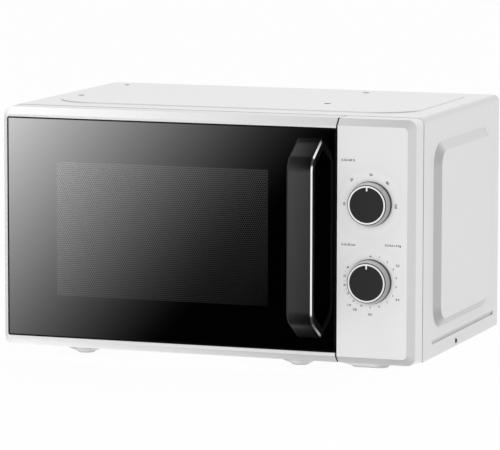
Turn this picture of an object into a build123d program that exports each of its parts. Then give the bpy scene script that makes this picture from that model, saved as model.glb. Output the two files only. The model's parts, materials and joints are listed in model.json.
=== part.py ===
from build123d import *
import os

# Countertop microwave oven with two mechanical dials. Millimetres.
# X runs to the right seen from the front, Y to the back, Z up.
# The origin lies on the standing surface under the middle of the oven.

# Cabinet
FRONT_WIDTH = 440.0
BODY_HEIGHT = 245.0
FOOT_HEIGHT = 12.8
FRONT_DEPTH = 33.0
COVER_DEPTH = 273.0
SHEET = 0.8
EDGE_RADIUS = 6.5
REAR_FLANGE = 12.0
BASE_FLANGE = 9.0

# Pressings of the cover
SIDE_RISE = 6.1
SIDE_SLOPE = 9.0
SIDE_MARGIN_FRONT = 34.0
SIDE_MARGIN_REAR = 40.0
SIDE_MARGIN_TOP = 28.5
SIDE_MARGIN_BOTTOM = 28.0
SIDE_CORNER = 24.0
TOP_RISE = 1.0
TOP_SLOPE = 1.0
TOP_MARGIN_SIDE = 24.5
TOP_MARGIN_FRONT = 32.0
TOP_MARGIN_REAR = 10.0
TOP_CORNER = 45.0
TOP_HOLE = 7.5
TOP_HOLE_INSET = 32.6
TOP_HOLE_SPAN = 271.9
TOP_HOLE_FRONT = 105.0
TOP_HOLE_REAR = 37.3
BEAD_HEIGHT = 4.5
BEAD_DEPTH = 2.2
BEAD_LIFT = 13.2
BEAD_MARGIN_FRONT = 31.4
BEAD_MARGIN_REAR = 17.8

# Clearances
FIT = 0.2
PLAY = 0.3
RUNNING_CLEARANCE = 0.05
OVERCUT = 1.0

# Fasteners
SCREW = 3.8
SCREW_HEAD = 8.0
SCREW_HEAD_HEIGHT = 2.2
SCREW_HEAD_CROWN = 1.0
COVER_SCREW_LENGTH = 7.0
REAR_SCREW_MARGIN = 54.0
REAR_SCREW_SPACING = 171.0
SIDE_SCREW_SET = 117.4
SIDE_SCREW_LIFT = 5.2
SIDE_SCREW_HEAD = 5.4
SIDE_SCREW_HEAD_HEIGHT = 1.2
SMALL_SCREW = 2.5
SMALL_SCREW_HEAD = 6.0
SMALL_SCREW_LENGTH = 7.0

# Cooling slots
SLOT_WIDTH = 4.0
SLOT_PITCH = 9.0
INTAKE_SLOT = 79.0
INTAKE_SLOTS = 9
OUTLET_SLOT = 34.0
OUTLET_COLUMN = 42.0
OUTLET_COLUMNS = 3
OUTLET_ROWS = 4
OUTLET_INSET = 99.0
OUTLET_DROP = 50.0
FLOOR_SLOT = 44.0
FLOOR_SLOTS = 4
WALL_SLOT = 24.0
WALL_SLOT_WIDTH = 3.0
WALL_SLOT_PITCH = 7.0
LAMP_SLOTS = 6
VENT_SLOTS = 9
VENT_SET = 60.0
VENT_DROP = 30.0

# Cord gland
GLAND_BARREL = 14.0
GLAND_FLANGE = 20.0
GLAND_FLANGE_THICKNESS = 2.4
GLAND_NUT = 22.0
GLAND_NUT_THICKNESS = 6.0
GLAND_REACH = 7.0
GLAND_BORE = 8.0
GLAND_INSET = 40.0
GLAND_LIFT = 32.0

# Stamped feet and their pads
FOOT_TOP = 54.0
FOOT_KNEE = 41.0
FOOT_KNEE_LIFT = 6.0
FOOT_FLAT = 18.5
FOOT_INSET = 0.7
FOOT_REAR_SET = 24.0
LEFT_FOOT_INSET = 68.2
MIDDLE_FOOT_INSET = 138.2
WIDE_FOOT_INSET = 66.0
WIDE_FOOT_LENGTH = 39.0
WIDE_FOOT_SET = 8.0
WIDE_FOOT_LEAN = 5.0
PAD_HEIGHT = 1.0
PAD_MARGIN = 0.5
PAD_CHAMFER = 0.4
PAD_STEM = 5.0
PAD_HEAD = 8.0
PAD_HEAD_HEIGHT = 1.4

# Door and control panel
PANEL_WIDTH = 79.6
DOOR_GAP = 1.5
SEAM_GAP = 2.2
BEVEL = 7.0
BEVEL_LEFT = 5.8
FACE_CORNER = 4.5
RIM_CORNER = 8.5
BOTTOM_CORNER = 2.5
ROOM_CORNER = 6.0
WALL = 2.5
GLASS = 3.2
GLASS_SET = 0.4
GLASS_LIP_SIDE = 0.5
GLASS_LIP_TOP = 2.7
GLASS_LIP_BOTTOM = 3.4
GLASS_CORNER = 2.0
WINDOW_WIDTH = 243.0
WINDOW_HEIGHT = 152.0
WINDOW_CORNER = 4.0
SCREEN_SET = 21.0
SCREEN_MARGIN = 12.0
SCREEN_SIDE_GAP = 3.0
SCREEN_POST = 8.0
SCREEN_POST_INSET = 6.0
SCREEN_POST_DROP = 26.0
CHOKE_COVER = 1.6
CHOKE_WIDTH = 28.0
CHOKE_LIP = 1.5
CHOKE_CORNER = 5.0
FILM = 0.6
FILM_GAP = 0.5
PANEL_LIP = 3.0
PANEL_LIP_SET = 1.7
PANEL_INNER_BEVEL = 5.0
CONTROL_OPENING_SIDE = 8.0
CONTROL_OPENING_EDGE = 11.0
CONTROL_OPENING_END = 36.8

# Hinge
HINGE_INSET = 12.0
HINGE_SET = 15.0
HINGE_PIN = 6.0
HINGE_SHOULDER = 9.6
HINGE_ARM = 3.0
HINGE_ARM_WIDTH = 10.0
HINGE_LIFT = 6.0
HINGE_FLANGE = 22.0
HINGE_FLANGE_WIDTH = 16.0
BRACKET_SHEET = 2.0
HINGE_TAB = 2.5
HINGE_TAB_GAP = 5.0
HINGE_TAB_SIZE = 12.0
HINGE_TAB_REACH = 14.0
HINGE_POCKET = 9.0
HINGE_POCKET_GAP = 0.6
PIN_END = 2.0

# Handle
HANDLE_REACH = 34.0
HANDLE_WIDTH = 26.6
HANDLE_BAND = 9.0
HANDLE_INSET = 27.0
HANDLE_TOP_MARGIN = 20.8
HANDLE_BOTTOM_MARGIN = 24.6
HANDLE_RUN = 20.0
HANDLE_BEND = 18.0
HANDLE_SCREW_INSET = 8.2
HANDLE_SCREW_REACH = 5.5
TRIM = 1.9
TRIM_CHAMFER = 1.4

# Latch
LATCH_THICKNESS = 4.0
LATCH_INSET = 10.0
LATCH_BAR_GAP = 5.0
LATCH_BAR_END = 14.0
LATCH_TRAVEL = 5.0
HOOK_REACH = 22.0
HOOK_HEIGHT = 8.0
HOOK_NOSE = 4.5
HOOK_NOSE_TIP = 3.0
HOOK_NOSE_LENGTH = 4.0
HOOK_RAMP = 5.0
LOWER_HOOK_LIFT = 56.0
UPPER_HOOK_DROP = 59.0
HOOK_SLOT_GAP = 1.5
HOOK_SLOT_SIDE = 3.5
CATCH_DROP = 0.5
CATCH_HEIGHT = 4.5
CATCH_SET = 9.5
BOARD_SHEET = 3.0
BOARD_END = 18.0
BOARD_REACH = 14.0
BOARD_FLANGE = 4.0
SWITCH_WIDTH = 10.0
SWITCH_LENGTH = 28.0
SWITCH_HEIGHT = 16.0
SWITCH_SET = 5.0
SWITCH_LIFT = 4.0
TERMINAL = 3.0
TERMINAL_WIDTH = 4.0
TERMINAL_LENGTH = 7.0
TERMINAL_PITCH = 10.0

# Knobs and their controls
KNOB_INSET = 44.7
TIMER_KNOB_LIFT = 83.9
KNOB_SPACING = 77.6
KNOB_BASE = 45.0
KNOB_FRONT = 41.0
KNOB_HEIGHT = 13.2
KNOB_GAP = 0.6
KNOB_FOOT = 1.2
KNOB_FOOT_SET = 0.8
KNOB_RIM = 1.0
KNOB_EDGE = 1.3
KNOB_FACE_DEPTH = 2.0
KNOB_BORE_END = 4.0
RING_WIDTH = 1.6
RING_PROUD = 0.3
CAP_INSET = 0.3
CAP_GAP = 0.1
POINTER_WIDTH = 1.5
POINTER_LENGTH = 3.7
SHAFT = 6.0
SHAFT_HOLE = 10.0
SHAFT_DEPTH = 12.0
SHAFT_COLLAR = 12.0
COLLAR_HEIGHT = 6.0
CONTROL_SET = 15.0
CONTROL_PLATE = 2.0
CONTROL_EAR = 10.0
CONTROL_CORNER = 4.0
TIMER_SIZE = 50.0
TIMER_DEPTH = 28.0
SELECTOR_SIZE = 42.0
SELECTOR_DEPTH = 22.0
PANEL_POST = 8.0
PILOT_HOLE = 2.6
PILOT_DEPTH = 8.0
EAR_HOLE = 3.4
BELL = 42.0
BELL_CROWN = 20.0
BELL_DEPTH = 11.0
BELL_SHEET = 1.2
BELL_STEM = 6.0
BELL_LIFT = 2.0

# Oven cavity
CAVITY_MARGIN = 24.0
CAVITY_LIFT = 24.0
CAVITY_HEADROOM = 21.0
CAVITY_REAR_GAP = 10.6
CAVITY_CORNER = 6.0
PRESSING_RISE = 3.0
PRESSING_SLOPE = 4.0
PRESSING_CORNER = 20.0
PRESSING_MARGIN = 36.0

# Turntable
TRAY_MARGIN = 7.5
TRAY_THICKNESS = 4.5
TRAY_RIM = 11.0
TRAY_RIM_WIDTH = 14.0
TRAY_LIP = 1.5
TRAY_LIP_WIDTH = 2.5
TRAY_WALL = 2.0
LUG = 8.0
LUG_RADIUS = 20.0
LUG_HEIGHT = 5.0
WHEEL = 16.0
WHEEL_WIDTH = 7.0
WHEEL_GAP = 0.8
WHEEL_COUNT = 3
RING_INSET = 40.5
RING_BAND = 8.0
RING_HEIGHT = 5.0
AXLE = 5.0
AXLE_HEAD = 7.4
AXLE_HEAD_LENGTH = 2.0
COUPLER_HOLE = 34.0
COUPLER_HUB = 18.0
COUPLER_FLANGE_GAP = 2.0
COUPLER_FLANGE = 2.0
COUPLER_ARM = 26.0
COUPLER_ARM_WIDTH = 8.0
COUPLER_ARM_HEIGHT = 8.0
COUPLER_BORE = 11.0
DRIVE_SHAFT = 6.0
DRIVE_SHAFT_DEPTH = 8.0
TURN_MOTOR = 48.0
TURN_MOTOR_HEIGHT = 16.0
TURN_EAR_LENGTH = 34.2
TURN_EAR_WIDTH = 14.0
TURN_EAR = 1.2

# Magnetron and waveguide
BAY_WIDTH = 114.4
GUIDE_DEPTH = 20.0
GUIDE_MARGIN = 0.8
GUIDE_TOP = 32.4
GUIDE_BOTTOM = 72.0
GUIDE_HOLE = 24.0
MOUTH_WIDTH = 72.0
MOUTH_TOP = 14.4
MOUTH_BOTTOM = 64.8
MICA_MARGIN = 7.0
MICA_CORNER = 4.0
MICA_STUD = 6.0
MICA_STUD_HEIGHT = 1.2
MAGNETRON_LENGTH = 58.0
MAGNETRON_WIDTH = 80.0
MAGNETRON_HEIGHT = 72.0
MAGNETRON_SET = 78.0
MAGNETRON_DROP = 59.0
YOKE = 1.6
YOKE_HOLE = 20.0
MAGNET = 54.0
MAGNET_HEIGHT = 9.0
ANODE = 38.0
TUBE_NECK = 19.0
TUBE_NECK_REACH = 5.0
ANTENNA = 14.0
ANTENNA_REACH = 14.0
FINS = 6
FIN = 0.8
FIN_MARGIN = 2.0
FILTER_DEPTH = 26.0
FILTER_WIDTH = 48.0
FILTER_HEIGHT = 40.0
FILTER_SHEET = 1.0
FILTER_LUG_REACH = 10.0
FILTER_LUG_MARGIN = 4.0
FILTER_LUG_HEIGHT = 16.0

# Lamp and cut-outs
LAMP_SET = 42.0
LAMP_DROP = 34.0
LAMP_PLATE = 52.0
LAMP_PLATE_HEIGHT = 13.0
LAMP_PLATE_DROP = 28.0
LAMP_SHEET = 1.2
LAMP_ARM = 22.0
LAMP_ARM_WIDTH = 18.0
LAMP_AXIS = 12.0
LAMP_CUP = 16.0
LAMP_CUP_HEIGHT = 12.0
LAMP_CUP_WALL = 2.0
BULB = 20.0
BULB_NECK = 11.8
BULB_NECK_DROP = 8.0
BULB_CROWN = 9.0
CUTOUT = 16.0
CUTOUT_HEIGHT = 7.0
CUTOUT_EAR = 28.0
CUTOUT_EAR_WIDTH = 10.0
CUTOUT_SET = 30.0
CUTOUT_LIFT = 70.0
CUTOUT_INSET = 16.0

# Power supply on the floor sheet
CORE_WIDTH = 88.0
CORE_STACK = 56.0
CORE_HEIGHT = 72.0
CORE_LEG = 26.4
CORE_WINDOW = 17.6
CORE_YOKE = 12.2
CORE_GAP = 19.4
CORE_PLATE = 2.0
CORE_PLATE_EDGE = 9.0
CORE_SCREW_INSET = 7.0
CORE_SCREW_SET = 4.8
CORE_SCREW_HEAD = 7.0
COIL_BUILD = 17.2
COIL_CORNER = 13.8
COIL_FIT = 0.1
COIL_PAPER = 3.8
CAPACITOR_WIDTH = 52.0
CAPACITOR_DEPTH = 32.0
CAPACITOR_HEIGHT = 82.0
CAPACITOR_EDGE = 1.6
CAPACITOR_SET = 34.0
CAPACITOR_INSET = 33.0
STUD = 10.0
STUD_HEIGHT = 5.0
STUD_SPACING = 20.0
BLADE_THICKNESS = 0.8
BLADE_WIDTH = 6.0
BLADE_HEIGHT = 8.0
CLAMP_SHEET = 1.1
CLAMP_FIT = 0.1
CLAMP_LIFT = 18.0
CLAMP_HEIGHT = 16.0
CLAMP_WIDTH = 14.0
CLAMP_FOOT = 15.0
DIODE = 8.0
DIODE_LENGTH = 20.0
DIODE_LIFT = 24.0
DIODE_LEAD = 1.6
DIODE_LEAD_LENGTH = 61.0
DIODE_LUG = 10.0
DIODE_LUG_SHEET = 1.0
DIODE_SET = 51.0
BOARD_WIDTH = 68.0
BOARD_DEPTH = 44.0
BOARD_THICKNESS = 1.6
BOARD_POST = 6.0
BOARD_POST_HEIGHT = 8.0
BOARD_POST_INSET = 5.0
BOARD_GAP = 6.8
CHOKE_COIL = 24.0
CHOKE_COIL_BORE = 10.0
CHOKE_COIL_HEIGHT = 11.4
CHOKE_COIL_SET = 24.0
FUSE_LENGTH = 22.0
FUSE_WIDTH = 8.0
FUSE_HEIGHT = 8.4
FILM_CAPACITOR_WIDTH = 12.0
FILM_CAPACITOR_HEIGHT = 14.4
FUSE_INSET = 8.0

# Fan
FAN = 88.0
FAN_OPENING = 94.0
FAN_DROP = 59.0
FAN_SET = 22.0
FAN_INSET = 5.0
FAN_BLADES = 5
FAN_PITCH = 34.0
FAN_CHORD = 27.0
FAN_CAMBER = 32.0
FAN_BLADE = 1.4
FAN_HUB = 26.0
FAN_HUB_BACK = 8.0
FAN_HUB_FRONT = 10.0
FAN_SHAFT = 5.0
FAN_SHAFT_REACH = 9.0
SHROUD_SHEET = 3.0
SHROUD_WALL = 2.0
SHROUD_DEPTH = 14.0
SHROUD_SIDE = 3.0
SHROUD_END = 6.0
SPOKE = 5.0
SPOKE_THICKNESS = 4.0
SPOKES = 3
MOTOR_CAN = 30.0
MOTOR_LENGTH = 22.0
MOTOR_SEAT = 0.2
MOTOR_COLLAR = 34.0
STACK_WIDTH = 44.0
STACK_HEIGHT = 38.0
STACK_LENGTH = 12.0
STACK_SET = 6.0
MOTOR_BORE = 10.0
DUCT_WALL = 1.5
DUCT_END = 75.0
DUCT_GAP = 38.0

total_depth = HANDLE_REACH + FRONT_DEPTH + COVER_DEPTH + SCREW_HEAD_HEIGHT
face_y = HANDLE_REACH - total_depth / 2
seam_y = face_y + FRONT_DEPTH
rear_y = seam_y + COVER_DEPTH
base_z = FOOT_HEIGHT
floor_z = base_z + SHEET
top_z = base_z + BODY_HEIGHT
left_x = -FRONT_WIDTH / 2
right_x = FRONT_WIDTH / 2
panel_left_x = right_x - PANEL_WIDTH
door_right_x = panel_left_x - DOOR_GAP
front_back_y = seam_y - SEAM_GAP
plate_back_y = seam_y + SHEET
panel_y1 = rear_y - SHEET
panel_y0 = panel_y1 - SHEET

bay_x1 = right_x - SHEET
bay_x0 = bay_x1 - BAY_WIDTH
cavity_x0 = left_x + CAVITY_MARGIN
cavity_x1 = bay_x0 - SHEET
cavity_y1 = panel_y0 - CAVITY_REAR_GAP
cavity_z0 = base_z + CAVITY_LIFT
cavity_z1 = top_z - CAVITY_HEADROOM
cavity_width = cavity_x1 - cavity_x0
cavity_depth = cavity_y1 - plate_back_y
cavity_height = cavity_z1 - cavity_z0
cavity_x = (cavity_x0 + cavity_x1) / 2
cavity_y = (plate_back_y + cavity_y1) / 2
cavity_z = (cavity_z0 + cavity_z1) / 2

glass_x0 = left_x + BEVEL_LEFT + GLASS_LIP_SIDE
glass_z0 = base_z + BEVEL + GLASS_LIP_BOTTOM
glass_z1 = top_z - BEVEL - GLASS_LIP_TOP
glass_front_y = face_y + GLASS_SET
glass_back_y = glass_front_y + GLASS
lining_y = glass_back_y + WALL

hinge_x = left_x + HINGE_INSET
hinge_y = face_y + HINGE_SET
pin_radius = HINGE_PIN / 2

latch_x = door_right_x - LATCH_INSET
screen_y = face_y + SCREEN_SET
screen_x0 = hinge_x + SCREEN_SIDE_GAP
screen_x1 = latch_x - LATCH_THICKNESS / 2 - SCREEN_SIDE_GAP
screen_z0 = base_z + SCREEN_MARGIN
screen_z1 = top_z - SCREEN_MARGIN
screen_x = (screen_x0 + screen_x1) / 2
screen_z = (screen_z0 + screen_z1) / 2
choke_y = front_back_y - PLAY
pan_y = choke_y - CHOKE_COVER
choke_opening_x = screen_x1 - screen_x0 - 2 * CHOKE_WIDTH
choke_opening_z = screen_z1 - screen_z0 - 2 * CHOKE_WIDTH
bar_y0 = lining_y + LATCH_BAR_GAP
bar_y1 = pan_y - PLAY
hook_zs = (base_z + LOWER_HOOK_LIFT, top_z - UPPER_HOOK_DROP)
tip_y = seam_y + HOOK_REACH

handle_x = door_right_x - HANDLE_INSET
handle_x0 = handle_x - HANDLE_WIDTH / 2
handle_x1 = handle_x + HANDLE_WIDTH / 2
handle_z0 = base_z + HANDLE_BOTTOM_MARGIN
handle_z1 = top_z - HANDLE_TOP_MARGIN

knob_x = right_x - KNOB_INSET
timer_z = base_z + TIMER_KNOB_LIFT
power_z = timer_z + KNOB_SPACING
control_y = face_y + CONTROL_SET
knob_face = KNOB_FRONT / 2 - KNOB_EDGE

wheel_z = cavity_z0 + PLAY + WHEEL / 2
tray_z = cavity_z0 + 2 * PLAY + WHEEL
tray_radius = min(cavity_width, cavity_depth) / 2 - TRAY_MARGIN
ring_radius = tray_radius - RING_INSET
wheel_in = ring_radius + RING_BAND / 2 + WHEEL_GAP
wheel_out = wheel_in + WHEEL_WIDTH

guide_x = bay_x0 + GUIDE_DEPTH
tube_x0 = guide_x
tube_x1 = tube_x0 + MAGNETRON_LENGTH
tube_y = plate_back_y + MAGNETRON_SET + MAGNETRON_WIDTH / 2
tube_z = top_z - MAGNETRON_DROP
tube_y0 = tube_y - MAGNETRON_WIDTH / 2
tube_y1 = tube_y + MAGNETRON_WIDTH / 2
tube_z0 = tube_z - MAGNETRON_HEIGHT / 2
tube_z1 = tube_z + MAGNETRON_HEIGHT / 2

capacitor_x = bay_x0 + CAPACITOR_INSET
capacitor_y = panel_y0 - CAPACITOR_SET
core_x = (bay_x0 + bay_x1) / 2
core_y = capacitor_y - CAPACITOR_DEPTH / 2 - CORE_GAP - COIL_BUILD - CORE_STACK / 2
core_z = floor_z + CORE_PLATE
board_y1 = core_y - CORE_STACK / 2 - COIL_BUILD - BOARD_GAP
board_y0 = board_y1 - BOARD_DEPTH

fan_x = bay_x0 + FAN_OPENING / 2 + FAN_INSET
fan_y = panel_y0 - FAN_SET
fan_z = top_z - FAN_DROP
motor_y = fan_y - SHROUD_DEPTH


def block(x0, x1, y0, y1, z0, z1):
    """Box between two corners."""
    middle = Pos((x0 + x1) / 2, (y0 + y1) / 2, (z0 + z1) / 2)
    return middle * Box(x1 - x0, y1 - y0, z1 - z0)


def rod_x(y, z, radius, x0, x1):
    """Cylinder lying along X."""
    return Pos((x0 + x1) / 2, y, z) * Rot(0, 90, 0) * Cylinder(radius, x1 - x0)


def rod_y(x, z, radius, y0, y1):
    """Cylinder lying along Y."""
    return Pos(x, (y0 + y1) / 2, z) * Rot(90, 0, 0) * Cylinder(radius, y1 - y0)


def rod_z(x, y, radius, z0, z1):
    """Upright cylinder."""
    return Pos(x, y, (z0 + z1) / 2) * Cylinder(radius, z1 - z0)


def plate_xz(sketch, y0, y1):
    """Flat plate drawn in X and Z."""
    return extrude(Plane.XZ.offset(-y1) * sketch, y1 - y0)


def plate_yz(sketch, x0, x1):
    """Flat plate drawn in Y and Z."""
    return extrude(Plane.YZ.offset(x0) * sketch, x1 - x0)


def plate_xy(sketch, z0, z1):
    """Flat plate drawn in X and Y."""
    return extrude(Plane.XY.offset(z0) * sketch, z1 - z0)


def turned(*points):
    """Solid turned about Z from an outline of radius and height."""
    return revolve(Plane.XZ * make_face(Polyline(*points, close=True)), Axis.Z)


def slot_rows(length, width, pitch, count):
    """Parallel slots, one above the other."""
    return Sketch() + [spot * SlotOverall(length, width) for spot in GridLocations(0, pitch, 1, count)]


def raised_pad(plane, width, height, corner, rise, slope):
    """Sloping-sided pad standing on a plane."""
    foot = plane * RectangleRounded(width, height, corner)
    crest_plane = plane.offset(rise)
    crest = crest_plane * RectangleRounded(width - 2 * slope, height - 2 * slope, corner - slope)
    return loft([foot, crest], ruled=True)


def screw(length, head=SCREW_HEAD, shank=SCREW, head_height=SCREW_HEAD_HEIGHT):
    """Pan-head screw pointing down from its seat at the origin."""
    cap = rod_z(0, 0, head / 2, 0, head_height)
    cap = chamfer(cap.edges().group_by(Axis.Z)[-1], SCREW_HEAD_CROWN)
    return cap + rod_z(0, 0, shank / 2, -length, 0)


def screw_hole_y(x, z, y0, y1):
    """Clearance hole for a screw along Y."""
    return rod_y(x, z, SCREW / 2 + FIT, y0, y1)


def rear_screw_places():
    """Cover screws on the rear flange, as X and Z."""
    side = right_x - REAR_FLANGE / 2
    low = base_z + REAR_SCREW_MARGIN
    high = top_z - REAR_SCREW_MARGIN
    top = top_z - REAR_FLANGE / 2
    upright = [(x, z) for x in (-side, side) for z in (low, high)]
    return upright + [(x, top) for x in (-REAR_SCREW_SPACING / 2, REAR_SCREW_SPACING / 2)]


def side_screw_place():
    """Cover screw on each side, as Y and Z."""
    return seam_y + SIDE_SCREW_SET, base_z + SIDE_SCREW_LIFT


def side_pad(side):
    """Raised field on one side of the cover."""
    length = COVER_DEPTH - SIDE_MARGIN_FRONT - SIDE_MARGIN_REAR
    height = BODY_HEIGHT - SIDE_MARGIN_TOP - SIDE_MARGIN_BOTTOM
    y = seam_y + SIDE_MARGIN_FRONT + length / 2
    z = base_z + SIDE_MARGIN_BOTTOM + height / 2
    plane = Plane(origin=(side * right_x, y, z), x_dir=(0, 1, 0), z_dir=(side, 0, 0))
    return raised_pad(plane, length, height, SIDE_CORNER, SIDE_RISE, SIDE_SLOPE)


def side_bead(side, grow):
    """Long wedge low on one side, deepest along its lower edge, grown for the sheet behind it."""
    x = right_x - grow
    low = base_z + BEAD_LIFT - grow
    high = base_z + BEAD_LIFT + BEAD_HEIGHT
    deep = x - (high - low) * BEAD_DEPTH / BEAD_HEIGHT
    outline = make_face(Polyline((x, low), (x, high), (deep, low), close=True))
    bead = plate_xz(outline, seam_y + BEAD_MARGIN_FRONT - grow, rear_y - BEAD_MARGIN_REAR + grow)
    return bead if side > 0 else mirror(bead, Plane.YZ)


def top_pad():
    """Raised field on the top of the cover."""
    length = COVER_DEPTH - TOP_MARGIN_FRONT - TOP_MARGIN_REAR
    width = FRONT_WIDTH - 2 * TOP_MARGIN_SIDE
    plane = Plane(origin=(0, seam_y + TOP_MARGIN_FRONT + length / 2, top_z))
    return raised_pad(plane, width, length, TOP_CORNER, TOP_RISE, TOP_SLOPE)


def cover():
    """Wrap-round sheet with raised sides, raised top and a rear flange."""
    outer = block(left_x, right_x, seam_y, rear_y, base_z, top_z)
    outer = fillet(outer.edges().filter_by(Axis.Y).group_by(Axis.Z)[-1], EDGE_RADIUS)
    inner = block(left_x + SHEET, bay_x1, seam_y, panel_y1, base_z, top_z - SHEET)
    inner = fillet(inner.edges().filter_by(Axis.Y).group_by(Axis.Z)[-1], EDGE_RADIUS - SHEET)
    mouth_x = right_x - REAR_FLANGE
    mouth = block(-mouth_x, mouth_x, panel_y1, rear_y, base_z, top_z - REAR_FLANGE)
    shell = outer - inner - mouth
    screw_y, screw_z = side_screw_place()
    for side in (-1, 1):
        pad = side_pad(side)
        shell = shell + pad - Pos(-side * SHEET, 0, 0) * pad
        shell = shell + side_bead(side, SHEET) - side_bead(side, 0)
        hole_x = side * right_x
        shell -= rod_x(screw_y, screw_z, SCREW / 2 + FIT, hole_x - OVERCUT, hole_x + OVERCUT)
    pad = top_pad()
    shell = shell + pad - Pos(0, 0, -SHEET) * pad
    for x in (left_x + TOP_HOLE_INSET, left_x + TOP_HOLE_INSET + TOP_HOLE_SPAN):
        for y in (seam_y + TOP_HOLE_FRONT, rear_y - TOP_HOLE_REAR):
            shell -= rod_z(x, y, TOP_HOLE / 2, top_z - SHEET - OVERCUT, top_z + TOP_RISE + OVERCUT)
    for x, z in rear_screw_places():
        shell -= screw_hole_y(x, z, panel_y1 - OVERCUT, rear_y + OVERCUT)
    return shell


def inner_sheet():
    """Upright sheet outline that fits inside the cover."""
    width = FRONT_WIDTH - 2 * SHEET - 2 * FIT
    height = BODY_HEIGHT - SHEET - FIT
    return Pos(0, base_z + height / 2) * RectangleRounded(width, height, EDGE_RADIUS)


def gland_place():
    """Cord gland in the back panel, as X and Z."""
    return right_x - GLAND_INSET, base_z + GLAND_LIFT


def back_panel():
    """Rear sheet with cooling slots and a gland hole."""
    sheet = inner_sheet()
    sheet -= Pos(fan_x, fan_z) * slot_rows(INTAKE_SLOT, SLOT_WIDTH, SLOT_PITCH, INTAKE_SLOTS)
    columns = GridLocations(OUTLET_COLUMN, SLOT_PITCH, OUTLET_COLUMNS, OUTLET_ROWS)
    outlets = Sketch() + [spot * SlotOverall(OUTLET_SLOT, SLOT_WIDTH) for spot in columns]
    sheet -= Pos(left_x + OUTLET_INSET, top_z - OUTLET_DROP) * outlets
    panel = plate_xz(sheet, panel_y0, panel_y1)
    panel -= rod_y(*gland_place(), GLAND_BARREL / 2 + FIT, panel_y0 - OVERCUT, panel_y1 + OVERCUT)
    for x, z in rear_screw_places():
        panel -= screw_hole_y(x, z, panel_y0 - OVERCUT, panel_y1 + OVERCUT)
    return panel


def cord_gland():
    """Collar bush with an open bore."""
    x, z = gland_place()
    end_y = panel_y0 - GLAND_REACH
    flange_y = panel_y1 + GLAND_FLANGE_THICKNESS
    barrel = rod_y(x, z, GLAND_BARREL / 2, end_y, panel_y1)
    flange = rod_y(x, z, GLAND_FLANGE / 2, panel_y1, flange_y)
    nut = plate_xz(Pos(x, z) * RegularPolygon(GLAND_NUT / 2, 6), panel_y0 - GLAND_NUT_THICKNESS, panel_y0)
    return barrel + flange + nut - rod_y(x, z, GLAND_BORE / 2, end_y - OVERCUT, flange_y + OVERCUT)


def foot_places():
    """Round feet and the wide foot, as X and Y."""
    front = plate_back_y + FOOT_TOP / 2 + FOOT_INSET
    back = panel_y0 - FOOT_TOP / 2 - FOOT_REAR_SET
    left = left_x + LEFT_FOOT_INSET
    right = right_x - LEFT_FOOT_INSET
    rounds = [(left, front), (right_x - MIDDLE_FOOT_INSET, front), (left, back), (right, back)]
    return rounds, (right_x - WIDE_FOOT_INSET, front + WIDE_FOOT_SET)


def round_foot():
    """Bowl-shaped foot pressed out of the floor sheet."""
    return turned(
        (0, PAD_HEIGHT),
        (FOOT_FLAT / 2, PAD_HEIGHT),
        (FOOT_KNEE / 2, FOOT_KNEE_LIFT),
        (FOOT_TOP / 2, base_z),
        (FOOT_TOP / 2, floor_z),
        (FOOT_TOP / 2 - SHEET, floor_z),
        (FOOT_KNEE / 2 - SHEET / 2, FOOT_KNEE_LIFT + SHEET),
        (FOOT_FLAT / 2 - SHEET / 2, PAD_HEIGHT + SHEET),
        (0, PAD_HEIGHT + SHEET),
    )


def wide_foot_form():
    """Oblong foot as a full form, leaning out to its left."""
    spread = WIDE_FOOT_LENGTH - FOOT_FLAT
    flat = Plane.XY.offset(PAD_HEIGHT) * SlotOverall(WIDE_FOOT_LENGTH, FOOT_FLAT)
    knee = Plane.XY.offset(FOOT_KNEE_LIFT) * Pos(-WIDE_FOOT_LEAN, 0)
    rim = Plane.XY.offset(base_z) * Pos(-WIDE_FOOT_LEAN, 0)
    sections = [
        flat,
        knee * SlotOverall(FOOT_KNEE + spread, FOOT_KNEE),
        rim * SlotOverall(FOOT_TOP + spread, FOOT_TOP),
    ]
    return loft(sections, ruled=True)


def base_plate():
    """Floor sheet with turned-up edges, stamped feet and cooling slots."""
    x1 = bay_x1 - FIT
    sheet = block(-x1, x1, plate_back_y, panel_y0, base_z, floor_z)
    flange_z = base_z + BASE_FLANGE
    for edge in (-x1, x1 - SHEET):
        sheet += block(edge, edge + SHEET, plate_back_y, panel_y0, base_z, flange_z)
    sheet += block(-x1, x1, panel_y0 - SHEET, panel_y0, base_z, flange_z)
    slots = slot_rows(FLOOR_SLOT, SLOT_WIDTH, SLOT_PITCH, FLOOR_SLOTS)
    slots = Pos(core_x, (board_y0 + board_y1) / 2) * slots
    sheet -= plate_xy(slots, base_z - OVERCUT, floor_z + OVERCUT)
    rounds, wide = foot_places()
    bowl = round_foot()
    for x, y in rounds:
        sheet -= rod_z(x, y, (FOOT_TOP - SHEET) / 2, base_z - OVERCUT, floor_z + OVERCUT)
        sheet += Pos(x, y, 0) * bowl
    form = Pos(*wide, 0) * wide_foot_form()
    sheet = sheet + form - Pos(0, 0, SHEET) * form
    for x, y in rounds + [wide]:
        sheet -= rod_z(x, y, PAD_STEM / 2 + FIT, 0, PAD_HEIGHT + SHEET + OVERCUT)
    screw_y, screw_z = side_screw_place()
    for edge in (-x1, x1):
        sheet -= rod_x(screw_y, screw_z, SCREW / 2 + FIT, edge - SHEET - OVERCUT, edge + SHEET + OVERCUT)
    return sheet


def foot_pad(outline):
    """Pad with a stem and a head, for the flat of one foot."""
    neck = PAD_HEIGHT + SHEET
    pad = chamfer(plate_xy(outline, 0, PAD_HEIGHT).edges().group_by(Axis.Z)[0], PAD_CHAMFER)
    pad += rod_z(0, 0, PAD_STEM / 2, PAD_HEIGHT, neck)
    return pad + rod_z(0, 0, PAD_HEAD / 2, neck, neck + PAD_HEAD_HEIGHT)


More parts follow.
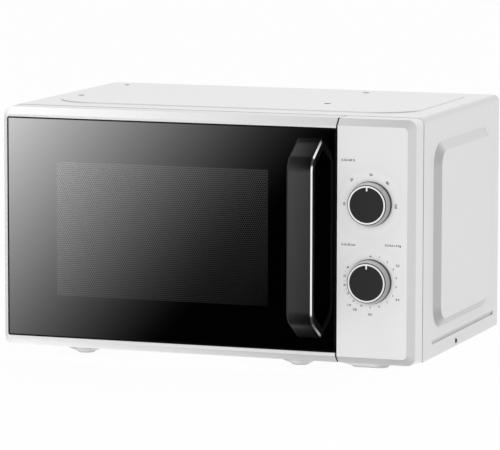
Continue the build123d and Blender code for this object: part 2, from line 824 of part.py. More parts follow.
def foot_pads():
    """Pads pressed through the stamped feet."""
    rounds, wide = foot_places()
    width = FOOT_FLAT - 2 * PAD_MARGIN
    pads = [Pos(x, y, 0) * foot_pad(Circle(width / 2)) for x, y in rounds]
    return pads + [Pos(*wide, 0) * foot_pad(SlotOverall(WIDE_FOOT_LENGTH - 2 * PAD_MARGIN, width))]


def cover_screws():
    """Screws through the rear flange and the sides of the cover."""
    piece = screw(COVER_SCREW_LENGTH)
    screws = [Pos(x, rear_y, z) * Rot(-90, 0, 0) * piece for x, z in rear_screw_places()]
    y, z = side_screw_place()
    piece = screw(COVER_SCREW_LENGTH, SIDE_SCREW_HEAD, SCREW, SIDE_SCREW_HEAD_HEIGHT)
    screws.append(Pos(right_x, y, z) * Rot(0, 90, 0) * piece)
    screws.append(Pos(left_x, y, z) * Rot(0, -90, 0) * piece)
    return screws


def hook_slot():
    """Slot round one latch hook: X range, then Z range about the hook."""
    half = LATCH_THICKNESS / 2
    x0 = latch_x - half - HOOK_SLOT_GAP
    x1 = latch_x + half + HOOK_SLOT_SIDE
    low = -HOOK_NOSE - HOOK_HEIGHT / 2 - HOOK_SLOT_GAP
    high = HOOK_HEIGHT / 2 + LATCH_TRAVEL + HOOK_SLOT_GAP
    return x0, x1, low, high


def hook_slots(y0, y1):
    """Both latch slots as cutters."""
    x0, x1, low, high = hook_slot()
    return [block(x0, x1, y0, y1, z + low, z + high) for z in hook_zs]


def hinge_arm_zs():
    """Height ranges of the lower and the upper hinge arm."""
    low = base_z + HINGE_LIFT
    high = top_z - HINGE_LIFT
    return (low, low + HINGE_ARM), (high - HINGE_ARM, high)


def hinge_tab_zs():
    """Height ranges of the hinge tabs on the door screen."""
    lower, upper = hinge_arm_zs()
    low = lower[1] + HINGE_TAB_GAP
    high = upper[0] - HINGE_TAB_GAP
    return (low, low + HINGE_TAB), (high - HINGE_TAB, high)


def front_plate():
    """Front sheet with the oven opening, latch slots and a control opening."""
    sheet = inner_sheet()
    sheet -= Pos(cavity_x, cavity_z) * Rectangle(cavity_width, cavity_height)
    plate = plate_xz(sheet, seam_y, plate_back_y)
    y0 = seam_y - OVERCUT
    y1 = plate_back_y + OVERCUT
    plate -= block(
        panel_left_x + CONTROL_OPENING_SIDE,
        right_x - CONTROL_OPENING_EDGE,
        y0,
        y1,
        base_z + CONTROL_OPENING_END,
        top_z - CONTROL_OPENING_END,
    )
    plate -= hook_slots(y0, y1)
    half = HINGE_ARM_WIDTH / 2 + PLAY
    for z0, z1 in hinge_arm_zs():
        plate -= block(hinge_x - half, hinge_x + half, y0, y1, z0 - FIT, z1 + FIT)
    return plate


def guide_mouth():
    """Waveguide mouth in the oven wall, as Y and Z ranges."""
    half = MOUTH_WIDTH / 2
    return tube_y - half, tube_y + half, tube_z - MOUTH_BOTTOM, tube_z - MOUTH_TOP


def lamp_place():
    """Lamp window in the oven wall, as Y and Z."""
    return plate_back_y + LAMP_SET, cavity_z1 - LAMP_DROP


def wall_slots(y, z, count):
    """Row of upright slots in a side wall, drawn in Y and Z."""
    row = GridLocations(WALL_SLOT_PITCH, 0, count, 1)
    return Pos(y, z) * (Sketch() + [spot * SlotOverall(WALL_SLOT, WALL_SLOT_WIDTH, 90) for spot in row])


def cavity_wrap():
    """Oven floor and both side walls in one bent sheet."""
    outer = block(cavity_x0 - SHEET, bay_x0, plate_back_y, cavity_y1, cavity_z0 - SHEET, cavity_z1)
    outer = fillet(outer.edges().filter_by(Axis.Y).group_by(Axis.Z)[0], CAVITY_CORNER + SHEET)
    inner = block(cavity_x0, cavity_x1, plate_back_y, cavity_y1, cavity_z0, cavity_z1)
    inner = fillet(inner.edges().filter_by(Axis.Y).group_by(Axis.Z)[0], CAVITY_CORNER)
    wrap = outer - inner
    hole_z = cavity_z0 - SHEET - OVERCUT
    wrap -= rod_z(cavity_x, cavity_y, COUPLER_HOLE / 2, hole_z, cavity_z0 + OVERCUT)
    wrap -= block(cavity_x1 - OVERCUT, bay_x0 + OVERCUT, *guide_mouth())
    lamp = wall_slots(*lamp_place(), LAMP_SLOTS)
    wrap -= plate_yz(lamp, cavity_x1 - OVERCUT, bay_x0 + OVERCUT)
    vent = wall_slots(plate_back_y + VENT_SET, cavity_z1 - VENT_DROP, VENT_SLOTS)
    return wrap - plate_yz(vent, cavity_x0 - SHEET - OVERCUT, cavity_x0 + OVERCUT)


def pressing(plane, width, height):
    """Shallow pressed field that leaves a margin all round."""
    inner_width = width - 2 * PRESSING_MARGIN
    inner_height = height - 2 * PRESSING_MARGIN
    return raised_pad(plane, inner_width, inner_height, PRESSING_CORNER, PRESSING_RISE, PRESSING_SLOPE)


def cavity_roof():
    """Oven ceiling sheet with a shallow pressed panel."""
    z1 = cavity_z1 + SHEET
    roof = block(cavity_x0 - SHEET, bay_x0, plate_back_y, cavity_y1, cavity_z1, z1)
    pad = pressing(Plane(origin=(cavity_x, cavity_y, z1)), cavity_width, cavity_depth)
    return roof + pad - Pos(0, 0, -SHEET) * pad


def cavity_back():
    """Rear wall of the oven with a shallow pressed panel."""
    y1 = cavity_y1 + SHEET
    wall = block(cavity_x0 - SHEET, bay_x0, cavity_y1, y1, cavity_z0 - SHEET, cavity_z1 + SHEET)
    plane = Plane(origin=(cavity_x, y1, cavity_z), x_dir=(1, 0, 0), z_dir=(0, 1, 0))
    pad = pressing(plane, cavity_width, cavity_height)
    return wall + pad - Pos(0, -SHEET, 0) * pad


def waveguide():
    """Sheet duct that carries the field from the tube to the oven wall."""
    y0 = tube_y0 + GUIDE_MARGIN
    y1 = tube_y1 - GUIDE_MARGIN
    z0 = tube_z - GUIDE_BOTTOM
    z1 = tube_z + GUIDE_TOP
    duct = block(bay_x0, guide_x, y0, y1, z0, z1)
    duct -= block(bay_x0, guide_x - SHEET, y0 + SHEET, y1 - SHEET, z0 + SHEET, z1 - SHEET)
    return duct - rod_x(tube_y, tube_z, GUIDE_HOLE / 2, bay_x0, guide_x + OVERCUT)


def waveguide_cover():
    """Mica sheet over the waveguide mouth, with its two studs."""
    y0, y1, z0, z1 = guide_mouth()
    middle_z = (z0 + z1) / 2
    width = y1 - y0 + 2 * MICA_MARGIN
    height = z1 - z0 + 2 * MICA_MARGIN
    outline = Pos((y0 + y1) / 2, middle_z) * RectangleRounded(width, height, MICA_CORNER)
    face_x = cavity_x1 - FILM
    pieces = [plate_yz(outline, face_x, cavity_x1)]
    for y in (y0 - MICA_MARGIN / 2, y1 + MICA_MARGIN / 2):
        pieces.append(rod_x(y, middle_z, MICA_STUD / 2, face_x - MICA_STUD_HEIGHT, face_x))
    return pieces


def lamp_holder():
    """Socket plate on the oven wall with a cup for the bulb."""
    y, z = lamp_place()
    x = bay_x0 + LAMP_AXIS
    z0 = z - LAMP_PLATE_DROP
    seat = z0 + LAMP_CUP_WALL
    half = LAMP_PLATE / 2
    plate = block(bay_x0, bay_x0 + LAMP_SHEET, y - half, y + half, z0, z0 + LAMP_PLATE_HEIGHT)
    arm_y = LAMP_ARM_WIDTH / 2
    arm = block(bay_x0 + LAMP_SHEET, bay_x0 + LAMP_ARM, y - arm_y, y + arm_y, z0, seat)
    cup = rod_z(x, y, LAMP_CUP / 2, seat, seat + LAMP_CUP_HEIGHT)
    bore = rod_z(x, y, LAMP_CUP / 2 - LAMP_CUP_WALL, seat + LAMP_CUP_WALL, seat + LAMP_CUP_HEIGHT + OVERCUT)
    return plate + arm + cup - bore


def lamp_bulb():
    """Small oven bulb standing in its holder."""
    y, z = lamp_place()
    seat = -LAMP_PLATE_DROP + 2 * LAMP_CUP_WALL
    bulb = turned(
        (0, seat),
        (BULB_NECK / 2, seat),
        (BULB_NECK / 2, -BULB_NECK_DROP),
        (BULB / 2, -BULB_NECK_DROP / 2),
        (BULB / 2, BULB_NECK_DROP / 2),
        (BULB_NECK / 2, BULB_CROWN),
        (0, BULB_CROWN),
    )
    return Pos(bay_x0 + LAMP_AXIS, y, z) * bulb


def handle_screw_zs():
    """Heights of the two handle screws."""
    return handle_z0 + HANDLE_SCREW_INSET, handle_z1 - HANDLE_SCREW_INSET


def front_body(x0, x1):
    """Slice of the bevelled front that the door and the panel share."""
    width = FRONT_WIDTH - BEVEL_LEFT - BEVEL
    face = Pos((BEVEL_LEFT - BEVEL) / 2, 0) * RectangleRounded(width, BODY_HEIGHT - 2 * BEVEL, FACE_CORNER)
    rim = RectangleRounded(FRONT_WIDTH, BODY_HEIGHT, RIM_CORNER)
    back = Rectangle(FRONT_WIDTH, BODY_HEIGHT)
    back = fillet(back.vertices().group_by(Axis.Y)[-1], EDGE_RADIUS)
    back = fillet(back.vertices().group_by(Axis.Y)[0], BOTTOM_CORNER)
    middle = Pos(0, base_z + BODY_HEIGHT / 2)
    sections = ((face_y, face), (face_y + BEVEL, rim), (front_back_y, back))
    front = loft([Plane.XZ.offset(-y) * middle * outline for y, outline in sections], ruled=True)
    return front & block(x0, x1, face_y, front_back_y, base_z, top_z)


def door_frame():
    """Moulded door body with bevelled edges, glass recess and hinge corner."""
    body = front_body(left_x, door_right_x)
    room = block(left_x + WALL, door_right_x - WALL, lining_y, front_back_y, base_z + WALL, top_z - WALL)
    body -= fillet(room.edges().filter_by(Axis.Y).group_by(Axis.X)[0], ROOM_CORNER)
    corner = block(left_x, hinge_x, hinge_y, front_back_y, base_z, top_z)
    body -= corner - rod_z(hinge_x, hinge_y, front_back_y - hinge_y, base_z, top_z)
    recess = block(glass_x0 - FIT, door_right_x, face_y, glass_back_y, glass_z0 - FIT, glass_z1 + FIT)
    body -= fillet(recess.edges().filter_by(Axis.Y).group_by(Axis.X)[0], GLASS_CORNER + FIT)
    window = Pos(cavity_x, cavity_z) * RectangleRounded(WINDOW_WIDTH, WINDOW_HEIGHT, WINDOW_CORNER)
    body -= plate_xz(window, face_y, lining_y + OVERCUT)
    for z0, z1 in hinge_arm_zs():
        low = z0 - HINGE_POCKET_GAP
        high = z1 + HINGE_POCKET_GAP
        body -= block(left_x, hinge_x + HINGE_POCKET, hinge_y - HINGE_POCKET, front_back_y, low, high)
    for z in handle_screw_zs():
        body -= screw_hole_y(handle_x, z, face_y, lining_y + OVERCUT)
    for x in (screen_x0 + SCREEN_POST_INSET, screen_x1 - SCREEN_POST_INSET):
        for z in (screen_z0 + SCREEN_POST_DROP, screen_z1 - SCREEN_POST_DROP):
            body += rod_y(x, z, SCREEN_POST / 2, lining_y, screen_y)
    return body


def door_glass():
    """Dark front glass running out to the free edge of the door."""
    glass = block(glass_x0, door_right_x, glass_front_y, glass_back_y, glass_z0, glass_z1)
    glass = fillet(glass.edges().filter_by(Axis.Y).group_by(Axis.X)[0], GLASS_CORNER)
    for z in handle_screw_zs():
        glass -= screw_hole_y(handle_x, z, face_y, glass_back_y + OVERCUT)
    return glass


def door_screen():
    """Pressed steel pan behind the glass, with the choke wall and hinge tabs."""
    pan = block(screen_x0, screen_x1, screen_y, pan_y, screen_z0, screen_z1)
    x0 = screen_x0 + SHEET
    x1 = screen_x1 - SHEET
    pan -= block(x0, x1, screen_y + SHEET, pan_y, screen_z0 + SHEET, screen_z1 - SHEET)
    half = HINGE_TAB_SIZE / 2
    for z0, z1 in hinge_tab_zs():
        pan += block(hinge_x - half, hinge_x + HINGE_TAB_REACH, hinge_y - half, screen_y + SHEET, z0, z1)
        pan -= rod_z(hinge_x, hinge_y, pin_radius + RUNNING_CLEARANCE, z0 - OVERCUT, z1 + OVERCUT)
    return pan


def choke_cover():
    """Plastic border that closes the choke channel on the oven side."""
    middle = Pos(screen_x, screen_z)
    sheet = middle * Rectangle(screen_x1 - screen_x0, screen_z1 - screen_z0)
    opening = middle * RectangleRounded(choke_opening_x, choke_opening_z, CHOKE_CORNER)
    grow = 2 * CHOKE_LIP
    lip = middle * RectangleRounded(choke_opening_x + grow, choke_opening_z + grow, CHOKE_CORNER + CHOKE_LIP)
    border = plate_xz(sheet - opening, pan_y, choke_y)
    return border + plate_xz(lip - opening, screen_y + SHEET, pan_y)


def inner_window():
    """Clear film on the oven side of the door screen."""
    width = choke_opening_x - 2 * FILM_GAP
    height = choke_opening_z - 2 * FILM_GAP
    film = Pos(screen_x, screen_z) * RectangleRounded(width, height, CHOKE_CORNER - FILM_GAP)
    return plate_xz(film, screen_y + SHEET, screen_y + SHEET + FILM)


def hinge_brackets():
    """Arms from behind the front plate that carry the hinge pins."""
    lower, upper = hinge_arm_zs()
    half = HINGE_ARM_WIDTH / 2
    flange_x = HINGE_FLANGE_WIDTH / 2
    y1 = plate_back_y + BRACKET_SHEET
    brackets = []
    for (z0, z1), low, high in ((lower, 0, HINGE_FLANGE), (upper, HINGE_FLANGE, 0)):
        arm = block(hinge_x - half, hinge_x + half, hinge_y, y1, z0, z1)
        arm += rod_z(hinge_x, hinge_y, half, z0, z1)
        arm += block(hinge_x - flange_x, hinge_x + flange_x, plate_back_y, y1, z0 - low, z1 + high)
        brackets.append(arm - rod_z(hinge_x, hinge_y, pin_radius, z0 - OVERCUT, z1 + OVERCUT))
    return brackets


def hinge_pins():
    """Shouldered pins on which the door turns."""
    low_arm, high_arm = hinge_arm_zs()
    low_tab, high_tab = hinge_tab_zs()
    shoulder = HINGE_SHOULDER / 2
    lower = rod_z(hinge_x, hinge_y, pin_radius, low_arm[0], low_tab[1] + PIN_END)
    lower += rod_z(hinge_x, hinge_y, shoulder, low_arm[1], low_tab[0] - PLAY)
    upper = rod_z(hinge_x, hinge_y, pin_radius, high_tab[0] - PIN_END, high_arm[1])
    upper += rod_z(hinge_x, hinge_y, shoulder, high_tab[1] + PLAY, high_arm[0])
    return [lower, upper]


def handle_outline(inset):
    """Bow outline in Y and Z, drawn in by an inset and open to the glass."""
    lean = HANDLE_RUN / HANDLE_REACH
    front = face_y - HANDLE_REACH
    behind = face_y + HANDLE_REACH
    face = make_face(
        Polyline(
            (behind, handle_z1 + HANDLE_REACH * lean),
            (front, handle_z1 - HANDLE_RUN),
            (front, handle_z0 + HANDLE_RUN),
            (behind, handle_z0 - HANDLE_REACH * lean),
            close=True,
        )
    )
    face = fillet(face.vertices().group_by(Axis.X)[0], HANDLE_BEND)
    return offset(face, -inset) if inset else face


def handle_band(x0, x1, thickness):
    """Bow band of a given thickness, cut off at the glass."""
    bow = plate_yz(handle_outline(0) - handle_outline(thickness), x0, x1)
    front = face_y - HANDLE_REACH - OVERCUT
    return bow & block(x0 - OVERCUT, x1 + OVERCUT, front, glass_front_y, base_z, top_z)


def handle_form():
    """Bow as a full form with a slope along both front edges."""
    form = plate_yz(handle_outline(0), handle_x0, handle_x1)
    sides = form.faces().filter_by(Axis.X)
    edges = [edge for side in sides for edge in side.edges().sort_by(Axis.Y)[:-1]]
    return chamfer(edges, TRIM_CHAMFER)


def handle_trims():
    """Bright strips with a sloping face along both front edges of the handle."""
    form = handle_form()
    return [handle_band(x0, x0 + TRIM, TRIM) & form for x0 in (handle_x0, handle_x1 - TRIM)]


def handle_bar():
    """Bow handle with a rebate for the strip along each front edge."""
    bar = handle_band(handle_x0, handle_x1, HANDLE_BAND)
    for x0 in (handle_x0, handle_x1 - TRIM):
        bar -= handle_band(x0, x0 + TRIM, TRIM)
    for z in handle_screw_zs():
        y0 = glass_front_y - HANDLE_SCREW_REACH - OVERCUT
        bar -= rod_y(handle_x, z, SCREW / 2 + RUNNING_CLEARANCE, y0, glass_front_y + OVERCUT)
    return bar


def handle_screws():
    """Screws from inside the door into the handle ends."""
    piece = screw(lining_y - glass_front_y + HANDLE_SCREW_REACH)
    return [Pos(handle_x, lining_y, z) * Rot(-90, 0, 0) * piece for z in handle_screw_zs()]


def hook_outline(z):
    """Side outline of one hook in Y and Z."""
    top = z + HOOK_HEIGHT / 2
    bottom = z - HOOK_HEIGHT / 2
    root = bar_y1 - OVERCUT
    nose_y = tip_y - HOOK_NOSE_TIP
    heel_y = nose_y - HOOK_NOSE_LENGTH
    return Polyline(
        (root, top),
        (tip_y - HOOK_RAMP, top),
        (tip_y, bottom),
        (nose_y, bottom - HOOK_NOSE),
        (heel_y, bottom - HOOK_NOSE),
        (heel_y - OVERCUT, bottom),
        (root, bottom),
        close=True,
    )


def latch_hooks():
    """Sliding bar with two hooks that reach through the front plate."""
    x0 = latch_x - LATCH_THICKNESS / 2
    x1 = latch_x + LATCH_THICKNESS / 2
    low, high = hook_zs
    bar = block(x0, x1, bar_y0, bar_y1, low - LATCH_BAR_END, high + LATCH_BAR_END)
    for z in hook_zs:
        bar += plate_yz(make_face(hook_outline(z)), x0, x1)
    return bar


def latch_guide():
    """Strip at the free edge of the door that holds the latch bar."""
    strip = block(screen_x1 + FIT, door_right_x - WALL, pan_y, choke_y, base_z + WALL, top_z - WALL)
    return strip - hook_slots(pan_y - OVERCUT, choke_y + OVERCUT)


def latch_board():
    """Bracket behind the front plate with the catch shelves."""
    x0, x1, low, high = hook_slot()
    bottom = hook_zs[0] + low - BOARD_END
    top = hook_zs[1] + high + BOARD_END
    back = plate_back_y + BRACKET_SHEET
    board = block(x0 - BOARD_FLANGE, x1 + BOARD_SHEET, plate_back_y, back, bottom, top)
    board -= hook_slots(plate_back_y - OVERCUT, back + OVERCUT)
    board += block(x1, x1 + BOARD_SHEET, plate_back_y, tip_y + BOARD_REACH, bottom, top)
    for z in hook_zs:
        shelf = z + low + CATCH_DROP
        board += block(x0, x1, plate_back_y, tip_y - CATCH_SET, shelf - CATCH_HEIGHT, shelf)
    return board


def interlock_switches():
    """Three snap switches on the outer side of the latch board."""
    x = hook_slot()[1] + BOARD_SHEET
    y = plate_back_y + SWITCH_SET
    low, high = hook_zs
    blade_x = x + (SWITCH_WIDTH - TERMINAL_WIDTH) / 2
    switches = []
    for z in (low + SWITCH_LIFT, (low + high) / 2, high + SWITCH_LIFT):
        bottom = z - SWITCH_HEIGHT / 2
        case = block(x, x + SWITCH_WIDTH, y, y + SWITCH_LENGTH, bottom, bottom + SWITCH_HEIGHT)
        for index in (-1, 0, 1):
            y0 = y + SWITCH_LENGTH / 2 + index * TERMINAL_PITCH - TERMINAL / 2
            tip = bottom - TERMINAL_LENGTH
            case += block(blade_x, blade_x + TERMINAL_WIDTH, y0, y0 + TERMINAL, tip, bottom)
        switches.append(case)
    return switches


def control_places():
    """Height of each control and the size of its housing."""
    return (timer_z, TIMER_SIZE), (power_z, SELECTOR_SIZE)


def ear_zs(knob_z, size):
    """Heights of the screw ears below and above a control housing."""
    reach = size / 2 + CONTROL_EAR / 2
    return knob_z - reach, knob_z + reach


def control_panel():
    """Moulded fascia with bevelled edges, shaft holes and mounting posts."""
    body = front_body(panel_left_x, right_x)
    step = PANEL_LIP_SET
    lip_y = front_back_y - PANEL_LIP
    lip = block(panel_left_x + step, right_x - step, lip_y, seam_y, base_z + step, top_z - step)
    body += fillet(lip.edges().filter_by(Axis.Y).group_by(Axis.X)[-1], EDGE_RADIUS - step)
    inner_y = face_y + WALL
    room = block(panel_left_x + WALL, right_x - WALL, inner_y, seam_y, base_z + WALL, top_z - WALL)
    room = fillet(room.edges().filter_by(Axis.Y).group_by(Axis.X)[-1], ROOM_CORNER)
    bevelled = room.faces().sort_by(Axis.Y)[0].edges().sort_by(Axis.X)[1:]
    body -= chamfer(bevelled, PANEL_INNER_BEVEL)
    for knob_z, size in control_places():
        body -= rod_y(knob_x, knob_z, SHAFT_HOLE / 2, face_y - OVERCUT, inner_y + OVERCUT)
        for z in ear_zs(knob_z, size):
            body += rod_y(knob_x, z, PANEL_POST / 2, inner_y, control_y)
            body -= rod_y(knob_x, z, PILOT_HOLE / 2, control_y - PILOT_DEPTH, control_y)
    return body


def control_housing(knob_z, size, depth):
    """Housing with a mounting plate and a shaft bore."""
    middle = Pos(knob_x, knob_z)
    case_y = control_y + CONTROL_PLATE
    plate = middle * RectangleRounded(size / 2, size + 2 * CONTROL_EAR, CONTROL_CORNER)
    housing = plate_xz(plate, control_y, case_y)
    housing += plate_xz(middle * RectangleRounded(size, size, CONTROL_CORNER), case_y, case_y + depth)
    collar_y = control_y - COLLAR_HEIGHT
    housing += rod_y(knob_x, knob_z, SHAFT_COLLAR / 2, collar_y, control_y)
    bore = SHAFT / 2 + RUNNING_CLEARANCE
    housing -= rod_y(knob_x, knob_z, bore, collar_y - OVERCUT, control_y + SHAFT_DEPTH)
    for z in ear_zs(knob_z, size):
        housing -= rod_y(knob_x, z, EAR_HOLE / 2, control_y - OVERCUT, case_y + OVERCUT)
    return housing


def control_shaft(knob_z):
    """Shaft from a control housing into its knob."""
    y0 = face_y - KNOB_GAP - KNOB_HEIGHT + KNOB_BORE_END
    return rod_y(knob_x, knob_z, SHAFT / 2, y0, control_y + SHAFT_DEPTH - PLAY)


def control_screws():
    """Screws that hold both controls on the panel posts."""
    piece = screw(SMALL_SCREW_LENGTH, SMALL_SCREW_HEAD, SMALL_SCREW)
    seat = control_y + CONTROL_PLATE
    places = [z for knob_z, size in control_places() for z in ear_zs(knob_z, size)]
    return [Pos(knob_x, seat, z) * Rot(-90, 0, 0) * piece for z in places]


def timer_bell():
    """Bell cup and its stem on the back of the timer."""
    cup = turned(
        (0, BELL_DEPTH),
        (BELL_CROWN / 2, BELL_DEPTH),
        (BELL / 2, BELL_LIFT),
        (BELL / 2 - BELL_SHEET, BELL_LIFT),
        (BELL_CROWN / 2 - BELL_SHEET, BELL_DEPTH - BELL_SHEET),
        (0, BELL_DEPTH - BELL_SHEET),
    )
    cup += rod_z(0, 0, BELL_STEM / 2, 0, BELL_DEPTH - BELL_SHEET)
    return Pos(knob_x, control_y + CONTROL_PLATE + TIMER_DEPTH, timer_z) * Rot(-90, 0, 0) * cup


def place_knob(shape, knob_z):
    """Turns a knob piece to the front and sets it on its axis."""
    return Pos(knob_x, face_y - KNOB_GAP, knob_z) * Rot(90, 0, 0) * shape


def knob(knob_z):
    """Tapered knob skirt with a recess for the ring and the cap."""
    foot = KNOB_BASE / 2 - KNOB_FOOT_SET
    skirt = turned(
        (0, 0),
        (foot, 0),
        (foot, KNOB_FOOT),
        (KNOB_BASE / 2, KNOB_FOOT),
        (KNOB_BASE / 2, KNOB_FOOT + KNOB_RIM),
        (KNOB_FRONT / 2, KNOB_HEIGHT - KNOB_EDGE),
        (knob_face, KNOB_HEIGHT),
        (0, KNOB_HEIGHT),
    )
    skirt -= rod_z(0, 0, knob_face, KNOB_HEIGHT - KNOB_FACE_DEPTH, KNOB_HEIGHT)
    skirt -= rod_z(0, 0, SHAFT / 2 + RUNNING_CLEARANCE, -OVERCUT, KNOB_HEIGHT - KNOB_BORE_END)
    return place_knob(skirt, knob_z)


def pointer_bar(grow):
    """Pointer bar reaching in from the ring, at the top of the dial."""
    reach = knob_face - RING_WIDTH / 2
    length = POINTER_LENGTH + RING_WIDTH / 2
    return Pos(0, reach - length / 2) * Rectangle(POINTER_WIDTH + grow, length + grow)


def knob_ring(knob_z):
    """Bright ring and pointer in the face of a knob."""
    low = KNOB_HEIGHT - KNOB_FACE_DEPTH
    ring = plate_xy(Circle(knob_face) - Circle(knob_face - RING_WIDTH), low, KNOB_HEIGHT + RING_PROUD)
    return place_knob(ring + plate_xy(pointer_bar(0), low, KNOB_HEIGHT), knob_z)


def knob_cap(knob_z):
    """Dark disc that fills the face of a knob."""
    disc = Circle(knob_face - RING_WIDTH - CAP_GAP) - pointer_bar(2 * CAP_GAP)
    return place_knob(plate_xy(disc, KNOB_HEIGHT - KNOB_FACE_DEPTH, KNOB_HEIGHT - CAP_INSET), knob_z)


def turntable_motor():
    """Flat geared motor under the oven floor."""
    z1 = cavity_z0 - SHEET
    can = rod_z(cavity_x, cavity_y, TURN_MOTOR / 2, z1 - TURN_MOTOR_HEIGHT, z1)
    half = TURN_EAR_LENGTH
    width = TURN_EAR_WIDTH / 2
    can += block(cavity_x - half, cavity_x + half, cavity_y - width, cavity_y + width, z1 - TURN_EAR, z1)
    bore = DRIVE_SHAFT / 2 + RUNNING_CLEARANCE
    return can - rod_z(cavity_x, cavity_y, bore, z1 - DRIVE_SHAFT_DEPTH, z1 + OVERCUT)


def turntable_shaft():
    """Drive shaft from the motor up into the coupler."""
    z0 = cavity_z0 - SHEET - DRIVE_SHAFT_DEPTH + PLAY
    return rod_z(cavity_x, cavity_y, DRIVE_SHAFT / 2, z0, cavity_z0 + COUPLER_BORE)


def turntable_coupler():
    """Three-armed driver that carries the tray."""
    z0 = cavity_z0 + PLAY
    z1 = tray_z - PLAY
    hub = rod_z(0, 0, COUPLER_HUB / 2, z0, z1)
    hub += rod_z(0, 0, COUPLER_HOLE / 2 - COUPLER_FLANGE_GAP, z0, z0 + COUPLER_FLANGE)
    half = COUPLER_ARM_WIDTH / 2
    arm = block(0, COUPLER_ARM, -half, half, z1 - COUPLER_ARM_HEIGHT, z1)
    hub += PolarLocations(0, WHEEL_COUNT) * arm
    bore = DRIVE_SHAFT / 2 + RUNNING_CLEARANCE
    hub -= rod_z(0, 0, bore, z0 - OVERCUT, cavity_z0 + COUPLER_BORE)
    return Pos(cavity_x, cavity_y, 0) * hub


def turntable_tray():
    """Glass tray with a raised rim and drive lugs underneath."""
    foot = tray_radius - TRAY_RIM_WIDTH
    tray = turned(
        (0, 0),
        (foot, 0),
        (tray_radius, TRAY_RIM),
        (tray_radius - TRAY_LIP_WIDTH / 2, TRAY_RIM + TRAY_LIP),
        (tray_radius - TRAY_LIP_WIDTH, TRAY_RIM + TRAY_LIP),
        (foot - TRAY_WALL, TRAY_THICKNESS),
        (0, TRAY_THICKNESS),
    )
    lug = rod_z(LUG_RADIUS, 0, LUG / 2, -LUG_HEIGHT, 0)
    tray += Rot(0, 0, 180 / WHEEL_COUNT) * PolarLocations(0, WHEEL_COUNT) * lug
    return Pos(cavity_x, cavity_y, tray_z) * tray


def roller_ring():
    """Ring with three stub axles that keeps the wheels apart."""
    band = Circle(ring_radius + RING_BAND / 2) - Circle(ring_radius - RING_BAND / 2)
    ring = plate_xy(band, wheel_z - RING_HEIGHT / 2, wheel_z + RING_HEIGHT / 2)
    end = wheel_out + AXLE_HEAD_LENGTH
    stub = rod_x(0, wheel_z, AXLE / 2, ring_radius, end)
    stub += rod_x(0, wheel_z, AXLE_HEAD / 2, wheel_out + PLAY, end)
    ring += PolarLocations(0, WHEEL_COUNT) * stub
    return Pos(cavity_x, cavity_y, 0) * ring


def roller_wheel(index):
    """One roller wheel on its axle."""
    wheel = rod_x(0, wheel_z, WHEEL / 2, wheel_in, wheel_out)
    bore = AXLE / 2 + RUNNING_CLEARANCE
    wheel -= rod_x(0, wheel_z, bore, wheel_in - OVERCUT, wheel_out + OVERCUT)
    return Pos(cavity_x, cavity_y, 0) * Rot(0, 0, 360 / WHEEL_COUNT * index) * wheel


def magnetron_yoke():
    """Steel frame of the magnetron, open front to back."""
    frame = block(tube_x0, tube_x1, tube_y0, tube_y1, tube_z0, tube_z1)
    frame -= block(tube_x0 + YOKE, tube_x1 - YOKE, tube_y0, tube_y1, tube_z0 + YOKE, tube_z1 - YOKE)
    return frame - rod_x(tube_y, tube_z, YOKE_HOLE / 2, tube_x0 - OVERCUT, tube_x1 + OVERCUT)


def magnetron_magnets():
    """Ring magnets at both ends of the tube."""
    rings = []
    for x0 in (tube_x0 + YOKE, tube_x1 - YOKE - MAGNET_HEIGHT):
        ring = rod_x(tube_y, tube_z, MAGNET / 2, x0, x0 + MAGNET_HEIGHT)
        rings.append(ring - rod_x(tube_y, tube_z, YOKE_HOLE / 2, x0 - OVERCUT, x0 + MAGNET_HEIGHT + OVERCUT))
    return rings


def anode_ends():
    """Ends of the anode between the magnets, along X."""
    inset = YOKE + MAGNET_HEIGHT
    return tube_x0 + inset, tube_x1 - inset


def magnetron_tube():
    """Anode cylinder with the antenna and the heater stem."""
    tube = rod_x(tube_y, tube_z, ANODE / 2, *anode_ends())
    neck = tube_x0 - TUBE_NECK_REACH
    tube += rod_x(tube_y, tube_z, TUBE_NECK / 2, neck, tube_x1)
    return tube + rod_x(tube_y, tube_z, ANTENNA / 2, tube_x0 - ANTENNA_REACH, neck)


def magnetron_fins():
    """Cooling fins around the anode."""
    x0, x1 = anode_ends()
    pitch = (x1 - x0) / FINS
    fins = []
    for index in range(FINS):
        x = x0 + pitch * (index + 0.5) - FIN / 2
        fin = block(
            x, x + FIN, tube_y0 + FIN_MARGIN, tube_y1 - FIN_MARGIN, tube_z0 + YOKE, tube_z1 - YOKE
        )
        fins.append(fin - rod_x(tube_y, tube_z, ANODE / 2, x - OVERCUT, x + FIN + OVERCUT))
    return fins


def magnetron_filter():
    """Filter box on the heater end of the magnetron."""
    x1 = tube_x1 + FILTER_DEPTH
    y0 = tube_y - FILTER_WIDTH / 2
    y1 = tube_y + FILTER_WIDTH / 2
    z0 = tube_z - FILTER_HEIGHT / 2
    z1 = tube_z + FILTER_HEIGHT / 2
    case = block(tube_x1, x1, y0, y1, z0, z1)
    wall = FILTER_SHEET
    case -= block(tube_x1, x1 - wall, y0 + wall, y1 - wall, z0 + wall, z1 - wall)
    lug_x0 = tube_x1 + FILTER_LUG_MARGIN
    lug_x1 = x1 - FILTER_LUG_MARGIN
    half = FILTER_LUG_HEIGHT / 2
    return case + block(lug_x0, lug_x1, y0 - FILTER_LUG_REACH, y0, tube_z - half, tube_z + half)


def magnetron():
    """Whole tube with its yoke, magnets, fins and filter box."""
    return [magnetron_yoke(), magnetron_tube(), *magnetron_magnets(), *magnetron_fins(), magnetron_filter()]


def transformer_screw_places():
    """Screws through the transformer plate, as X and Y."""
    dx = CORE_WIDTH / 2 - CORE_SCREW_INSET
    dy = CORE_STACK / 2 + CORE_SCREW_SET
    return [(core_x + i * dx, core_y + j * dy) for i in (-1, 1) for j in (-1, 1)]


